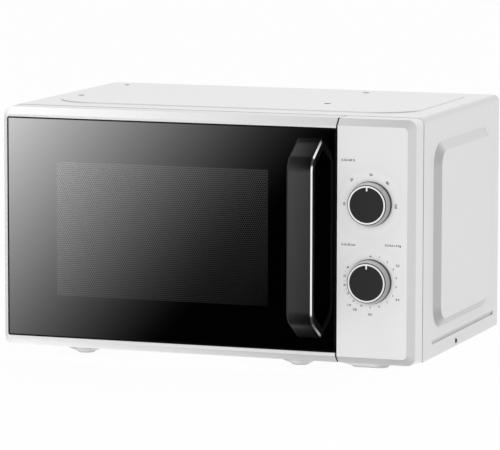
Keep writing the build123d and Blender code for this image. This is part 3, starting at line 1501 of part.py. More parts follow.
def transformer_core():
    """Laminated core with two coil windows on a mounting plate."""
    x0 = core_x - CORE_WIDTH / 2
    x1 = core_x + CORE_WIDTH / 2
    y0 = core_y - CORE_STACK / 2
    y1 = core_y + CORE_STACK / 2
    core = block(x0, x1, y0, y1, core_z, core_z + CORE_HEIGHT)
    window_z0 = core_z + CORE_YOKE
    window_z1 = core_z + CORE_HEIGHT - CORE_YOKE
    for window_x in (core_x - CORE_LEG / 2 - CORE_WINDOW, core_x + CORE_LEG / 2):
        core -= block(window_x, window_x + CORE_WINDOW, y0, y1, window_z0, window_z1)
    core += block(x0, x1, y0 - CORE_PLATE_EDGE, y1 + CORE_PLATE_EDGE, floor_z, core_z)
    for x, y in transformer_screw_places():
        core -= rod_z(x, y, SCREW / 2 + FIT, floor_z - OVERCUT, core_z + OVERCUT)
    return core


def transformer_coils():
    """Lower and upper winding around the middle leg, with paper between."""
    low = core_z + CORE_YOKE
    high = core_z + CORE_HEIGHT - CORE_YOKE
    middle = (low + high) / 2
    hole = Rectangle(CORE_LEG + 2 * COIL_FIT, CORE_STACK + 2 * COIL_FIT)
    outer = RectangleRounded(CORE_LEG + 2 * COIL_BUILD, CORE_STACK + 2 * COIL_BUILD, COIL_CORNER)
    ring = Pos(core_x, core_y) * (outer - hole)
    paper_z0 = middle - COIL_PAPER / 2
    paper_z1 = middle + COIL_PAPER / 2
    return [plate_xy(ring, low, paper_z0), plate_xy(ring, paper_z1, high), plate_xy(ring, paper_z0, paper_z1)]


def transformer_screws():
    """Screws that hold the transformer on the floor sheet."""
    piece = screw(CORE_PLATE - FIT, CORE_SCREW_HEAD)
    return [Pos(x, y, core_z) * piece for x, y in transformer_screw_places()]


def hv_capacitor():
    """Oval can with two terminals."""
    z1 = floor_z + CAPACITOR_HEIGHT
    outline = Pos(capacitor_x, capacitor_y) * SlotOverall(CAPACITOR_WIDTH, CAPACITOR_DEPTH)
    can = plate_xy(outline, floor_z, z1)
    can = chamfer(can.edges().group_by(Axis.Z)[-1], CAPACITOR_EDGE)
    tip = z1 + STUD_HEIGHT
    half = BLADE_THICKNESS / 2
    width = BLADE_WIDTH / 2
    for x in (capacitor_x - STUD_SPACING / 2, capacitor_x + STUD_SPACING / 2):
        can += rod_z(x, capacitor_y, STUD / 2, z1, tip)
        can += block(x - half, x + half, capacitor_y - width, capacitor_y + width, tip, tip + BLADE_HEIGHT)
    return can


def capacitor_clamp():
    """Strap round the capacitor with a foot on the floor sheet."""
    grow = 2 * CLAMP_FIT
    full = grow + 2 * CLAMP_SHEET
    ring = SlotOverall(CAPACITOR_WIDTH + full, CAPACITOR_DEPTH + full)
    ring -= SlotOverall(CAPACITOR_WIDTH + grow, CAPACITOR_DEPTH + grow)
    low = floor_z + CLAMP_LIFT
    high = low + CLAMP_HEIGHT
    strap = plate_xy(Pos(capacitor_x, capacitor_y) * ring, low, high)
    x0 = capacitor_x + CAPACITOR_WIDTH / 2 + CLAMP_FIT
    y0 = capacitor_y - CLAMP_WIDTH / 2
    y1 = capacitor_y + CLAMP_WIDTH / 2
    strap += block(x0, x0 + CLAMP_SHEET, y0, y1, floor_z, high)
    foot = block(x0, x0 + CLAMP_FOOT, y0, y1, floor_z, floor_z + CLAMP_SHEET)
    can = Pos(capacitor_x, capacitor_y) * SlotOverall(CAPACITOR_WIDTH + grow, CAPACITOR_DEPTH + grow)
    return strap + foot - plate_xy(can, floor_z, high)


def hv_diode():
    """Diode rod standing from the floor beside the capacitor."""
    x = capacitor_x + DIODE_SET
    half = DIODE_LUG / 2
    seat = floor_z + DIODE_LUG_SHEET
    diode = block(x - half, x + half, capacitor_y - half, capacitor_y + half, floor_z, seat)
    diode += rod_z(x, capacitor_y, DIODE_LEAD / 2, seat, seat + DIODE_LEAD_LENGTH)
    low = floor_z + DIODE_LIFT
    return diode + rod_z(x, capacitor_y, DIODE / 2, low, low + DIODE_LENGTH)


def noise_filter():
    """Filter board on posts with its coil, fuse and capacitor."""
    x0 = core_x - BOARD_WIDTH / 2
    x1 = core_x + BOARD_WIDTH / 2
    low = floor_z + BOARD_POST_HEIGHT
    top = low + BOARD_THICKNESS
    board = block(x0, x1, board_y0, board_y1, low, top)
    for x in (x0 + BOARD_POST_INSET, x1 - BOARD_POST_INSET):
        for y in (board_y0 + BOARD_POST_INSET, board_y1 - BOARD_POST_INSET):
            board += rod_z(x, y, BOARD_POST / 2, floor_z, low)
    coil_x = x0 + CHOKE_COIL_SET
    coil_y = (board_y0 + board_y1) / 2
    board += rod_z(coil_x, coil_y, CHOKE_COIL / 2, top, top + CHOKE_COIL_HEIGHT)
    board -= rod_z(coil_x, coil_y, CHOKE_COIL_BORE / 2, top, top + CHOKE_COIL_HEIGHT + OVERCUT)
    fuse_x = x1 - FUSE_INSET
    fuse_y = board_y0 + FUSE_INSET
    board += block(fuse_x - FUSE_LENGTH, fuse_x, fuse_y, fuse_y + FUSE_WIDTH, top, top + FUSE_HEIGHT)
    cap_y = board_y1 - FUSE_INSET
    cap_z = top + FILM_CAPACITOR_HEIGHT
    return board + block(fuse_x - FUSE_LENGTH, fuse_x, cap_y - FILM_CAPACITOR_WIDTH, cap_y, top, cap_z)


def thermal_cutouts():
    """Disc cut-outs on the oven wall and on the oven roof."""
    half = CUTOUT_EAR / 2
    width = CUTOUT_EAR_WIDTH / 2
    y = plate_back_y + CUTOUT_SET
    z = cavity_z0 + CUTOUT_LIFT
    on_wall = rod_x(y, z, CUTOUT / 2, bay_x0, bay_x0 + CUTOUT_HEIGHT)
    on_wall += block(bay_x0, bay_x0 + SHEET, y - half, y + half, z - width, z + width)
    x = cavity_x1 - CUTOUT_INSET
    roof_z = cavity_z1 + SHEET
    on_roof = rod_z(x, cavity_y, CUTOUT / 2, roof_z, roof_z + CUTOUT_HEIGHT)
    on_roof += block(x - width, x + width, cavity_y - half, cavity_y + half, roof_z, roof_z + SHEET)
    return [on_wall, on_roof]


def fan_shroud():
    """Plate with a round mouth that carries the fan motor on three legs."""
    middle = Pos(fan_x, fan_z)
    mouth = Circle(FAN_OPENING / 2)
    ring = Circle(FAN_OPENING / 2 + SHROUD_WALL)
    plate = Rectangle(FAN_OPENING + 2 * SHROUD_SIDE, FAN_OPENING + 2 * SHROUD_END) - mouth
    plate_y = panel_y0 - SHROUD_SHEET
    shroud = plate_xz(middle * plate, plate_y, panel_y0)
    shroud += plate_xz(middle * (ring - mouth), motor_y, plate_y)
    spoke = Pos(FAN_OPENING / 4, 0) * Rectangle(FAN_OPENING / 2 + 2 * SHROUD_WALL, SPOKE)
    turns = [90 + 360 / SPOKES * index for index in range(SPOKES)]
    spider = Circle(MOTOR_COLLAR / 2) + [Rot(0, 0, turn) * spoke for turn in turns]
    spider = (spider & ring) - Circle(MOTOR_CAN / 2 + MOTOR_SEAT)
    return shroud + plate_xz(middle * spider, motor_y - SPOKE_THICKNESS, motor_y)


def fan_motor():
    """Shaded-pole motor held in the shroud collar."""
    can = rod_y(fan_x, fan_z, MOTOR_CAN / 2, motor_y - MOTOR_LENGTH, motor_y)
    stack_y = motor_y - STACK_SET
    can += block(
        fan_x - STACK_WIDTH / 2,
        fan_x + STACK_WIDTH / 2,
        stack_y - STACK_LENGTH,
        stack_y,
        fan_z - STACK_HEIGHT / 2,
        fan_z + STACK_HEIGHT / 2,
    )
    bore = FAN_SHAFT / 2 + RUNNING_CLEARANCE
    return can - rod_y(fan_x, fan_z, bore, motor_y - MOTOR_BORE, motor_y + OVERCUT)


def fan_blade():
    """Impeller with cambered blades, turning on its shaft."""
    hub = rod_z(0, 0, FAN_HUB / 2, -FAN_HUB_BACK, FAN_HUB_FRONT)
    hub += rod_z(0, 0, FAN_SHAFT / 2, 0, fan_y - motor_y + FAN_SHAFT_REACH)
    strip = Circle(FAN_CAMBER) - Circle(FAN_CAMBER - FAN_BLADE)
    strip = Pos(0, FAN_BLADE - FAN_CAMBER) * strip & Rectangle(FAN_CHORD, FAN_CAMBER)
    blade = plate_yz(Rot(0, 0, FAN_PITCH) * strip, FAN_HUB / 2 - SHROUD_WALL, FAN / 2 + OVERCUT)
    blade &= Cylinder(FAN / 2, FAN_CAMBER)
    hub += PolarLocations(0, FAN_BLADES) * blade
    return Pos(fan_x, fan_y, fan_z) * Rot(90, 0, 0) * hub


def duct_form(inset):
    """Tapering form from the fan to the magnetron, drawn in by an inset."""
    near = Pos((tube_x0 + tube_x1) / 2, tube_z)
    near *= Rectangle(MAGNETRON_LENGTH - 2 * inset, MAGNETRON_HEIGHT - 2 * inset)
    far = Pos(fan_x, fan_z) * Rectangle(DUCT_END - 2 * inset, DUCT_END - 2 * inset)
    return loft([Plane.XZ.offset(-tube_y1) * near, Plane.XZ.offset(DUCT_GAP - fan_y) * far], ruled=True)


def air_duct():
    """Plastic duct from the fan to the magnetron fins."""
    return duct_form(0) - duct_form(DUCT_WALL)


def nodes():
    """Every node of the oven and its solids."""
    wheels = {f"roller_wheel_{index + 1}": roller_wheel(index) for index in range(WHEEL_COUNT)}
    return {
        "cover": cover(),
        "back_panel": back_panel(),
        "base_plate": base_plate(),
        "foot_pads": foot_pads(),
        "cover_screws": cover_screws(),
        "cord_gland": cord_gland(),
        "front_plate": front_plate(),
        "cavity_wrap": cavity_wrap(),
        "cavity_roof": cavity_roof(),
        "cavity_back": cavity_back(),
        "waveguide": waveguide(),
        "waveguide_cover": waveguide_cover(),
        "oven_lamp": [lamp_holder(), lamp_bulb()],
        "hinge_brackets": hinge_brackets(),
        "hinge_pins": hinge_pins(),
        "door_frame": door_frame(),
        "door_glass": door_glass(),
        "door_screen": door_screen(),
        "choke_cover": choke_cover(),
        "inner_window": inner_window(),
        "handle_bar": handle_bar(),
        "handle_trims": handle_trims(),
        "handle_screws": handle_screws(),
        "latch_hooks": latch_hooks(),
        "latch_guide": latch_guide(),
        "latch_board": latch_board(),
        "interlock_switches": interlock_switches(),
        "control_panel": control_panel(),
        "timer_housing": control_housing(timer_z, TIMER_SIZE, TIMER_DEPTH),
        "timer_bell": timer_bell(),
        "timer_shaft": control_shaft(timer_z),
        "timer_knob": knob(timer_z),
        "timer_knob_ring": knob_ring(timer_z),
        "timer_knob_cap": knob_cap(timer_z),
        "power_selector": control_housing(power_z, SELECTOR_SIZE, SELECTOR_DEPTH),
        "power_shaft": control_shaft(power_z),
        "power_knob": knob(power_z),
        "power_knob_ring": knob_ring(power_z),
        "power_knob_cap": knob_cap(power_z),
        "chassis_screws": control_screws() + transformer_screws(),
        "turntable_motor": turntable_motor(),
        "turntable_coupler": [turntable_coupler(), turntable_shaft()],
        "turntable_tray": turntable_tray(),
        "roller_ring": roller_ring(),
        **wheels,
        "magnetron": magnetron(),
        "air_duct": air_duct(),
        "thermal_cutouts": thermal_cutouts(),
        "transformer_core": transformer_core(),
        "transformer_coils": transformer_coils(),
        "hv_capacitor": hv_capacitor(),
        "capacitor_clamp": capacitor_clamp(),
        "hv_diode": hv_diode(),
        "fan_shroud": fan_shroud(),
        "fan_motor": fan_motor(),
        "fan_blade": fan_blade(),
        "noise_filter": noise_filter(),
    }


def main():
    """Writes one file for each node."""
    os.makedirs("parts", exist_ok=True)
    for name, shape in nodes().items():
        pieces = shape if isinstance(shape, list) else [shape]
        solids = [solid for piece in pieces for solid in piece.solids()]
        export_step(Compound(children=solids), f"parts/{name}.step")


if __name__ == "__main__":
    main()
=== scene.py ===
import json
import math

import bmesh
import bpy
from mathutils import Matrix, Vector


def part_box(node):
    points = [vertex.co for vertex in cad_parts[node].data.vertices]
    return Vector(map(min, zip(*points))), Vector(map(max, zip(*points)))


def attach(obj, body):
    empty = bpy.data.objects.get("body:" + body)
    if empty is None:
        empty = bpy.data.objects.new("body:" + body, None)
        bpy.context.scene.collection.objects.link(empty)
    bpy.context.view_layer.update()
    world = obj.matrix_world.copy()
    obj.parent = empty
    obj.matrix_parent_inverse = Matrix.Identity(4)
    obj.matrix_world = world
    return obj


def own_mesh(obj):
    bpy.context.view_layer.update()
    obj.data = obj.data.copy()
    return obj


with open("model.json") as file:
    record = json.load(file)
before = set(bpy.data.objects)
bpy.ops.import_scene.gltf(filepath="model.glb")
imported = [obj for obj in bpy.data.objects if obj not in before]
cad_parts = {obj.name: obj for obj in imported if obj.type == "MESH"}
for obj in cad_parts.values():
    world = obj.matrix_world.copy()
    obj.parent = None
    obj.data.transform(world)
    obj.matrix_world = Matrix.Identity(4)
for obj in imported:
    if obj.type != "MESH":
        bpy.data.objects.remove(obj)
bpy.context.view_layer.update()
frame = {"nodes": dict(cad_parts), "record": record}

# Countertop microwave oven: finishes, printing and studio. Metres, in the frame of the solids.

MM = 0.001
BLACK = (0, 0, 0)

# Camera, placed from the middle of the front face at the bottom of the body
CAMERA_OFFSET = Vector((1.33153, -3.65873, 0.61854))
CAMERA_YAW = math.radians(19.32)
CAMERA_PITCH = math.radians(7.11)
CAMERA_ROLL = math.radians(0.11)
CAMERA_LENS = 281.3
CAMERA_REACH = 50
SENSOR = 36.0

# Printing on the control panel: numbers by angle from the top, units by offset from a knob
PRINT_LIFT = 0.04 * MM
PRINT_THICKNESS = 0.04 * MM
PRINT_WEIGHT = 0.07 * MM
PRINT_STEPS = 3
NUMBER_SIZE = 3.1 * MM
POWER_SIZE = 3.5 * MM
MINUTE_SIZE = 2.5 * MM
UNIT_SIZE = 3.0 * MM
DIAL_STEP = 20.0
MINUTE_RADIUS = 26.3 * MM
MINUTE_STRETCH = 1.035
WEIGHT_RADIUS = 33.0 * MM
START_DOT = 1.4 * MM
START_RADIUS = 25.1 * MM
TICK_WIDTH = 0.3 * MM
TICK_LENGTH = 1.0 * MM
FIRST_TICK = 10
MINUTES = ["1", "2", "3", "4", "5", "6", "7", "8", "9", "10", "12", "15", "20", "25", "30"]
WEIGHTS = {"0.2": 59, "0.4": 121, "0.6": 180, "0.8": 209, "1.0": 222}
POWERS = {
    "10": (-93, 27.4 * MM),
    "30": (-41, 30.4 * MM),
    "50": (0, 28.7 * MM),
    "80": (39, 27.2 * MM),
    "100": (93, 25.9 * MM),
}
POWER_UNIT = ("0-50-100 %", -23.6 * MM, 42.5 * MM)
TIMER_UNITS = [("0-15-30 min", -23.0 * MM, 35.9 * MM), ("0.2-0.6-1.0 kg", 23.2 * MM, 36.7 * MM)]

# Grain of the plain finishes
BROAD_GRAIN = 14.0
GRAIN_BUMP = 0.25
ROUGHNESS_SPREAD = 0.15
BASE_GLOSS = 0.5

# Door window: staggered holes, seen on the glass and painted on the screen behind it
MESH_PITCH = 2.1 * MM
MESH_ROW = 2.0 * MM
MESH_HOLE = 0.8 * MM
HOLE_BLUR = 0.15
WINDOW_SIZE = Vector((227.3 * MM, 137.3 * MM))
WINDOW_LIFT = 122.6 * MM
# Web greys in the glass colour: painted light, lighter over the window and darker toward its lower right
WEB_LIGHT = (0.042, 0.042, 0.043)
WEB_DARK = (0.008, 0.008, 0.0082)
HOLE_DARK = (0.0002, 0.0002, 0.0002)
WEB_GLOSS = 0.6
HOLE_GLOSS = 0.44
GLASS_DARK = (0.0006, 0.0006, 0.0007)
GLASS_BORDER = 1.4 * MM
BORDER_ROUGHNESS = 0.55
BORDER_GLOSS = 0.2
SCREEN_WEB = (0.06, 0.06, 0.062)
SCREEN_HOLE = (0.004, 0.004, 0.004)
SCREEN_BORDER = (0.05, 0.05, 0.052)

# Faces picked out by a component of their normal: none at the first value, all at the second
TILTED = (0.97, 0.87)
NOT_WALL = (0.3, 0.5)
LEVEL = (0.0, 0.7)
UNDERSIDE = (0.0, -0.5)
UPRIGHT = (0.3, 0.2)
BEAD_END = (-0.5, -0.8)
SHEET_FRONT = (-0.9, -0.95)
HANDLE_BENT = (0.05, 0.25)
HANDLE_SIDES = (0.5, 0.9)
TRIM_UNDER = (-0.1, -0.3)
TRIM_RIGHT = (0.15, 0.35)
TRIM_SIDES = (-0.15, -0.05)
SKIRT_RIGHT = (0.1, 0.9)

# Handle: its greys from bottom to top, painted light to the top and left, and the share of them lost to
# painted shade by the tilt of a face up or down
HANDLE_LEFT = ((0.042, 0.042, 0.0425), (0.072, 0.070, 0.070))
HANDLE_RIGHT = ((0.024, 0.024, 0.0245), (0.046, 0.044, 0.044))
HANDLE_SHADE_DARK = (0.002, 0.002, 0.002)
BEND_SHADE_LOSSES = (
    (-1.0, 0.62), (-0.85, 0.62), (-0.78, 0.9), (-0.45, 0.75), (-0.1, 0.25), (0.0, 0.0),
    (0.1, 0.25), (0.45, 0.75), (0.78, 0.9), (0.85, 0.45), (1.0, 0.45),
)
# Trims: share lost to painted shade by the tilt of a face up or down
TRIM_SHADE_LOSSES = (
    (-1.0, 0.0), (-0.58, 0.0), (-0.52, 0.96), (-0.2, 0.96), (-0.08, 0.0),
    (0.2, 0.0), (0.3, 0.96), (0.52, 0.96), (0.58, 0.0), (1.0, 0.0),
)
TILT_RIGHT_SHADE_LOSS = 0.8
TILT_RIGHT_GLOSS = 0.01
HANDLE_GLOSS = 0.12
HANDLE_END = 9.0 * MM
HANDLE_END_SHADE_LOSS = 0.7
# Trims: painted shade on the side that faces left, under them and at their ends
TRIM_LEFT_SHADE = (0.043, 0.042, 0.042)
TRIM_UNDER_SHADE_LOSS = 0.8
TRIM_UNDER_LIGHT = 7.0 * MM
TRIM_UNDER_DARK = 14.0 * MM
TRIM_END = 6.0 * MM
TRIM_METAL = 0.5
TRIM_GLOSS = 0.5

# Knob skirt: painted shadow as the dark foot, measured from the panel, dark edge from the knob's front, and
# painted shade to the right
SKIRT_GREY = (0.58, 0.58, 0.585)
SKIRT_DARK = (0.02, 0.02, 0.021)
SKIRT_FOOT = 5.7 * MM
SKIRT_EDGE = 0.9 * MM
SKIRT_RIGHT_SHADE_LOSS = 0.35
SKIRT_METAL = 0.35

# Painted shade on the slopes of the paint: share lost where a face leans between X and Y, Y and Z, Z and X
PAINT_SLOPE_SHADE = (0.85, 0.5, 0.36)

# Painted light and shade on the bevels of the front, from left to right: the upright ones and those along
# the top and bottom, and painted shade on those facing down
UPRIGHT_BEVEL_SHADING = ((0.80, 0.795, 0.798), (0.645, 0.637, 0.641))
LEVEL_BEVEL_SHADING = ((0.99, 0.985, 0.988), (0.525, 0.515, 0.52))
BEVEL_START = -0.19
UNDER_SHADE_LOSS = 0.04

# Flat front: share lost to painted shade toward the top, on the panel and on the lip round the door glass
PANEL_SHADE_LOSS = 0.06
LIP_SHADE_LOSS = 0.12

# Panel a little lighter round the knobs and beside the door: painted light against the shade of the knobs
# and the handle
PANEL_PAINTED_LIGHT = (0.96, 0.953, 0.957)
RING_START = 25.0 * MM
RING_REACH = 36.0 * MM
RING_SHARE = 0.95
RING_SHIFT = 3.0 * MM
BESIDE_REACH = 45.0 * MM
BESIDE_SHARE = 0.45
BESIDE_TOP = 15.0 * MM
BESIDE_FULL = 55.0 * MM

# Edges and seams, and the long bead low on the sides of the cover: painted shade in the seams, the gap
# beside the door and the bead
EDGE_DARK = (0.05, 0.05, 0.05)
EDGE_STEP = 0.1 * MM
GAP_SHADOW = (0.004, 0.004, 0.004)
GAP_DEPTH = 12.0 * MM
SHEET_EDGE = 1.0 * MM
SEAM_SHADE_LOSS = 0.45
BEAD_SHADE_LOSS = 0.04
BEAD_LIFT = 13.2 * MM
BEAD_HEIGHT = 4.5 * MM
BEAD_DEPTH = 2.2 * MM
BEAD_FRONT = 20.0 * MM

# Latch spring
SPRING_RADIUS = 2.6 * MM
SPRING_WIRE = 0.45 * MM
SPRING_TURNS = 9
SPRING_LENGTH = 20 * MM
SPRING_SET = 8 * MM
SPRING_GAP = 0.2 * MM
SPRING_SIDES = 8
SPRING_STEPS = 16

# Studio: lamps by place, aim, size and power
SKY = 0.78
FLOOR_REACH = 12
FLOOR_COLOUR = (0.9, 0.9, 0.9)
FLOOR_WHITE = 0.95
FRONT_LAMP = ((0.4, -3.0, 0.8), (0, 0, 0.1), (2.4, 1.4), 15)
TOP_LAMP = ((0.1, 0.0, 2.5), (0, 0, 0.1), (2.6, 2.0), 10)
SIDE_LAMP = ((2.7, -0.2, 0.8), (0.1, 0, 0.1), (1.6, 1.6), 4)
LOW_LIFT = 0.3 * MM
LOW_POWER = 0.25

# Card that the door glass mirrors: how bright the glass shows it at three of its corners
CARD_DISTANCE = 0.12
GLASS_GLOSS = 0.04
GLOSS_TOP_LEFT = 0.79
GLOSS_TOP_RIGHT = 0.03
GLOSS_BOTTOM_LEFT = 0.385
DISPLAY_GAMMA = 2.2


def corner_values():
    """Reads the planes and axes that the pieces are placed from."""
    panel_low, panel_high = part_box("control_panel")
    timer_low, timer_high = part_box("timer_knob")
    power_low, power_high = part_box("power_knob")
    wrap_low, wrap_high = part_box("cavity_wrap")
    return {
        "face_y": panel_low[1],
        "side_x": panel_high[0],
        "top_z": panel_high[2],
        "base_z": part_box("cover")[0][2],
        "knob_x": (timer_low[0] + timer_high[0]) / 2,
        "timer_z": (timer_low[2] + timer_high[2]) / 2,
        "power_z": (power_low[2] + power_high[2]) / 2,
        "window_x": (wrap_low[0] + wrap_high[0]) / 2,
    }


place = corner_values()


def bare_material(name):
    """Node material with nothing but its output."""
    mat = bpy.data.materials.new(name)
    mat.use_nodes = True
    tree = mat.node_tree
    tree.nodes.clear()
    out = tree.nodes.new("ShaderNodeOutputMaterial")
    return mat, tree, out.inputs["Surface"]


def new_material(name):
    """Node material with an empty shader."""
    mat, tree, surface = bare_material(name)
    shader = tree.nodes.new("ShaderNodeBsdfPrincipled")
    tree.links.new(shader.outputs["BSDF"], surface)
    return mat, tree, shader


def feed(tree, socket, value):
    """Links an input to a socket, or sets it to a plain number, vector or colour."""
    if isinstance(value, bpy.types.NodeSocket):
        tree.links.new(value, socket)
    elif socket.type == "RGBA":
        socket.default_value = (*value, 1)
    else:
        socket.default_value = value


def object_vector(tree, output):
    """Place or normal in object space."""
    return tree.nodes.new("ShaderNodeTexCoord").outputs[output]


def axis_value(tree, output, axis):
    """One component of an object-space vector."""
    split = tree.nodes.new("ShaderNodeSeparateXYZ")
    tree.links.new(object_vector(tree, output), split.inputs[0])
    return split.outputs[axis]


def combined(tree, operation, *values, clamp=False):
    """Math node fed with sockets and fixed numbers."""
    node = tree.nodes.new("ShaderNodeMath")
    node.operation = operation
    node.use_clamp = clamp
    for socket, value in zip(node.inputs, values):
        feed(tree, socket, value)
    return node.outputs[0]


def product(tree, first, second):
    """Product of two sockets, or of a socket and a fixed share."""
    return combined(tree, "MULTIPLY", first, second)


def larger(tree, first, second):
    """The larger of two sockets."""
    return combined(tree, "MAXIMUM", first, second)


def size_of(tree, value):
    """Size of a value without its sign."""
    return combined(tree, "ABSOLUTE", value)


def vector_math(tree, operation, *values):
    """Vector math node fed with sockets and fixed vectors."""
    node = tree.nodes.new("ShaderNodeVectorMath")
    node.operation = operation
    for socket, value in zip(node.inputs, values):
        feed(tree, socket, value)
    return node.outputs["Value" if operation in ("LENGTH", "DOT_PRODUCT") else "Vector"]


def ramped(tree, value, low, high):
    """Zero to one between two values of a socket."""
    node = tree.nodes.new("ShaderNodeMapRange")
    node.inputs["From Min"].default_value = low
    node.inputs["From Max"].default_value = high
    tree.links.new(value, node.inputs["Value"])
    return node.outputs["Result"]


def remap(tree, value, low, high):
    """Maps a zero to one value to a range."""
    node = tree.nodes.new("ShaderNodeMapRange")
    node.inputs["To Min"].default_value = low
    node.inputs["To Max"].default_value = high
    tree.links.new(value, node.inputs["Value"])
    return node.outputs["Result"]


def mixed(tree, factor, first, second):
    """Mix of two colours, each a socket or a plain colour."""
    node = tree.nodes.new("ShaderNodeMix")
    node.data_type = "RGBA"
    tree.links.new(factor, node.inputs["Factor"])
    feed(tree, node.inputs["A"], first)
    feed(tree, node.inputs["B"], second)
    return node.outputs["Result"]


def mixed_shaders(tree, factor, first, second):
    """Mix of two shaders by a factor socket."""
    node = tree.nodes.new("ShaderNodeMixShader")
    for socket, source in zip(node.inputs, (factor, first, second)):
        tree.links.new(source, socket)
    return node.outputs[0]


def noise(tree, scale, detail=3.0, stretch=(1, 1, 1)):
    """Noise in object space, stretched if the finish has a direction."""
    mapping = tree.nodes.new("ShaderNodeMapping")
    mapping.inputs["Scale"].default_value = stretch
    texture = tree.nodes.new("ShaderNodeTexNoise")
    texture.inputs["Scale"].default_value = scale
    texture.inputs["Detail"].default_value = detail
    tree.links.new(object_vector(tree, "Object"), mapping.inputs["Vector"])
    tree.links.new(mapping.outputs["Vector"], texture.inputs["Vector"])
    return texture.outputs["Fac"]


def bands(tree, direction, scale):
    """Waves in object space along one axis."""
    wave = tree.nodes.new("ShaderNodeTexWave")
    wave.bands_direction = direction
    wave.inputs["Scale"].default_value = scale
    tree.links.new(object_vector(tree, "Object"), wave.inputs["Vector"])
    return wave.outputs["Fac"]


def bump(tree, shader, height, strength, distance):
    """Bump from a height socket."""
    node = tree.nodes.new("ShaderNodeBump")
    node.inputs["Strength"].default_value = strength
    node.inputs["Distance"].default_value = distance
    tree.links.new(height, node.inputs["Height"])
    tree.links.new(node.outputs["Normal"], shader.inputs["Normal"])


def dress_shader(tree, shader, colour, roughness):
    """Links the colour and the roughness of a shader."""
    tree.links.new(colour, shader.inputs["Base Color"])
    tree.links.new(roughness, shader.inputs["Roughness"])


def finish_material(name, colour, roughness, metallic=0.0, grain=900.0, vary=0.03, bump_height=0.02,
                    shade=None, specular=BASE_GLOSS):
    """Painted, moulded or plated finish with fine grain and slight variation."""
    mat, tree, shader = new_material(name)
    dark = tuple(c * (1 - vary) for c in colour)
    light = tuple(min(1.0, c * (1 + vary)) for c in colour)
    base = mixed(tree, noise(tree, BROAD_GRAIN), dark, light)
    if shade:
        base = shade(tree, base)
    fine = noise(tree, grain, 2.0)
    smooth = roughness * (1 - ROUGHNESS_SPREAD)
    rough = roughness * (1 + ROUGHNESS_SPREAD)
    dress_shader(tree, shader, base, remap(tree, fine, smooth, rough))
    bump(tree, shader, fine, GRAIN_BUMP, bump_height * MM)
    shader.inputs["Metallic"].default_value = metallic
    shader.inputs["Specular IOR Level"].default_value = specular
    return mat


def leaning(tree, weights):
    """How far a face leans between X and Y, Y and Z, Z and X, as a weighted sum."""
    normal = object_vector(tree, "Normal")
    split = tree.nodes.new("ShaderNodeSeparateXYZ")
    tree.links.new(normal, split.inputs[0])
    turned = tree.nodes.new("ShaderNodeCombineXYZ")
    for source, target in (("Y", "X"), ("Z", "Y"), ("X", "Z")):
        tree.links.new(split.outputs[source], turned.inputs[target])
    pairs = vector_math(tree, "MULTIPLY", normal, turned.outputs[0])
    return vector_math(tree, "DOT_PRODUCT", vector_math(tree, "ABSOLUTE", pairs), weights)


def bead_depth(tree):
    """Zero to one with the depth of the long bead in the sides of the cover."""
    side = place["side_x"]
    low = place["base_z"] + BEAD_LIFT
    high = low + BEAD_HEIGHT
    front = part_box("cover")[0][1] + BEAD_FRONT
    out = size_of(tree, axis_value(tree, "Object", "X"))
    share = ramped(tree, out, side - EDGE_STEP, side - BEAD_DEPTH)
    limits = (("Z", low - EDGE_STEP, low), ("Z", high + EDGE_STEP, high), ("Y", front, front + EDGE_STEP))
    for axis, start, end in limits:
        share = product(tree, share, ramped(tree, axis_value(tree, "Object", axis), start, end))
    return share


def paint_shade(tree, colour):
    """Painted shade: pressed slopes a little darker, raw edges of the top sheet, the seam at the front of
    the sides and the foot of the bead dark.
    """
    colour = mixed(tree, leaning(tree, PAINT_SLOPE_SHADE), colour, BLACK)
    facing = axis_value(tree, "Normal", "Y")
    end_wall = remap(tree, ramped(tree, facing, *BEAD_END), BEAD_SHADE_LOSS, 1.0)
    colour = mixed(tree, product(tree, bead_depth(tree), end_wall), colour, EDGE_DARK)
    side = place["side_x"] - SHEET_EDGE
    outer = ramped(tree, size_of(tree, axis_value(tree, "Object", "X")), side, side + EDGE_STEP)
    seam = product(tree, ramped(tree, facing, *SHEET_FRONT), SEAM_SHADE_LOSS)
    colour = mixed(tree, product(tree, outer, seam), colour, EDGE_DARK)
    top = place["top_z"] - SHEET_EDGE
    high = ramped(tree, axis_value(tree, "Object", "Z"), top, top + EDGE_STEP)
    upright = ramped(tree, size_of(tree, axis_value(tree, "Normal", "Z")), *UPRIGHT)
    return mixed(tree, product(tree, high, upright), colour, EDGE_DARK)


def bevel_light_and_shade(tree):
    """Painted light and shade on the bevels: light to dark from the left of the front to the right, more so
    along the top and bottom, and darker facing down.
    """
    across = ramped(tree, axis_value(tree, "Object", "X"), BEVEL_START, place["side_x"])
    tilt = axis_value(tree, "Normal", "Z")
    under = product(tree, ramped(tree, tilt, *UNDERSIDE), UNDER_SHADE_LOSS)
    level = mixed(tree, under, mixed(tree, across, *LEVEL_BEVEL_SHADING), BLACK)
    upright = mixed(tree, across, *UPRIGHT_BEVEL_SHADING)
    return mixed(tree, ramped(tree, size_of(tree, tilt), *LEVEL), upright, level)


def gap_shadow_mask(tree):
    """One on the front strip of the door's wall beside the panel, where the gap's shadow is painted."""
    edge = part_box("door_frame")[1][0]
    across = axis_value(tree, "Object", "X")
    start = ramped(tree, across, edge - EDGE_STEP, edge - EDGE_STEP / 2)
    end = ramped(tree, across, edge + EDGE_STEP, edge + EDGE_STEP / 2)
    deep = place["face_y"] + GAP_DEPTH
    front = ramped(tree, axis_value(tree, "Object", "Y"), deep + EDGE_STEP, deep)
    return product(tree, front, product(tree, start, end))


def axis_distance(tree, x, z):
    """Distance from an axis that runs along Y."""
    offset = vector_math(tree, "MULTIPLY_ADD", object_vector(tree, "Object"), (1, 0, 1), (-x, 0, -z))
    return vector_math(tree, "LENGTH", offset)


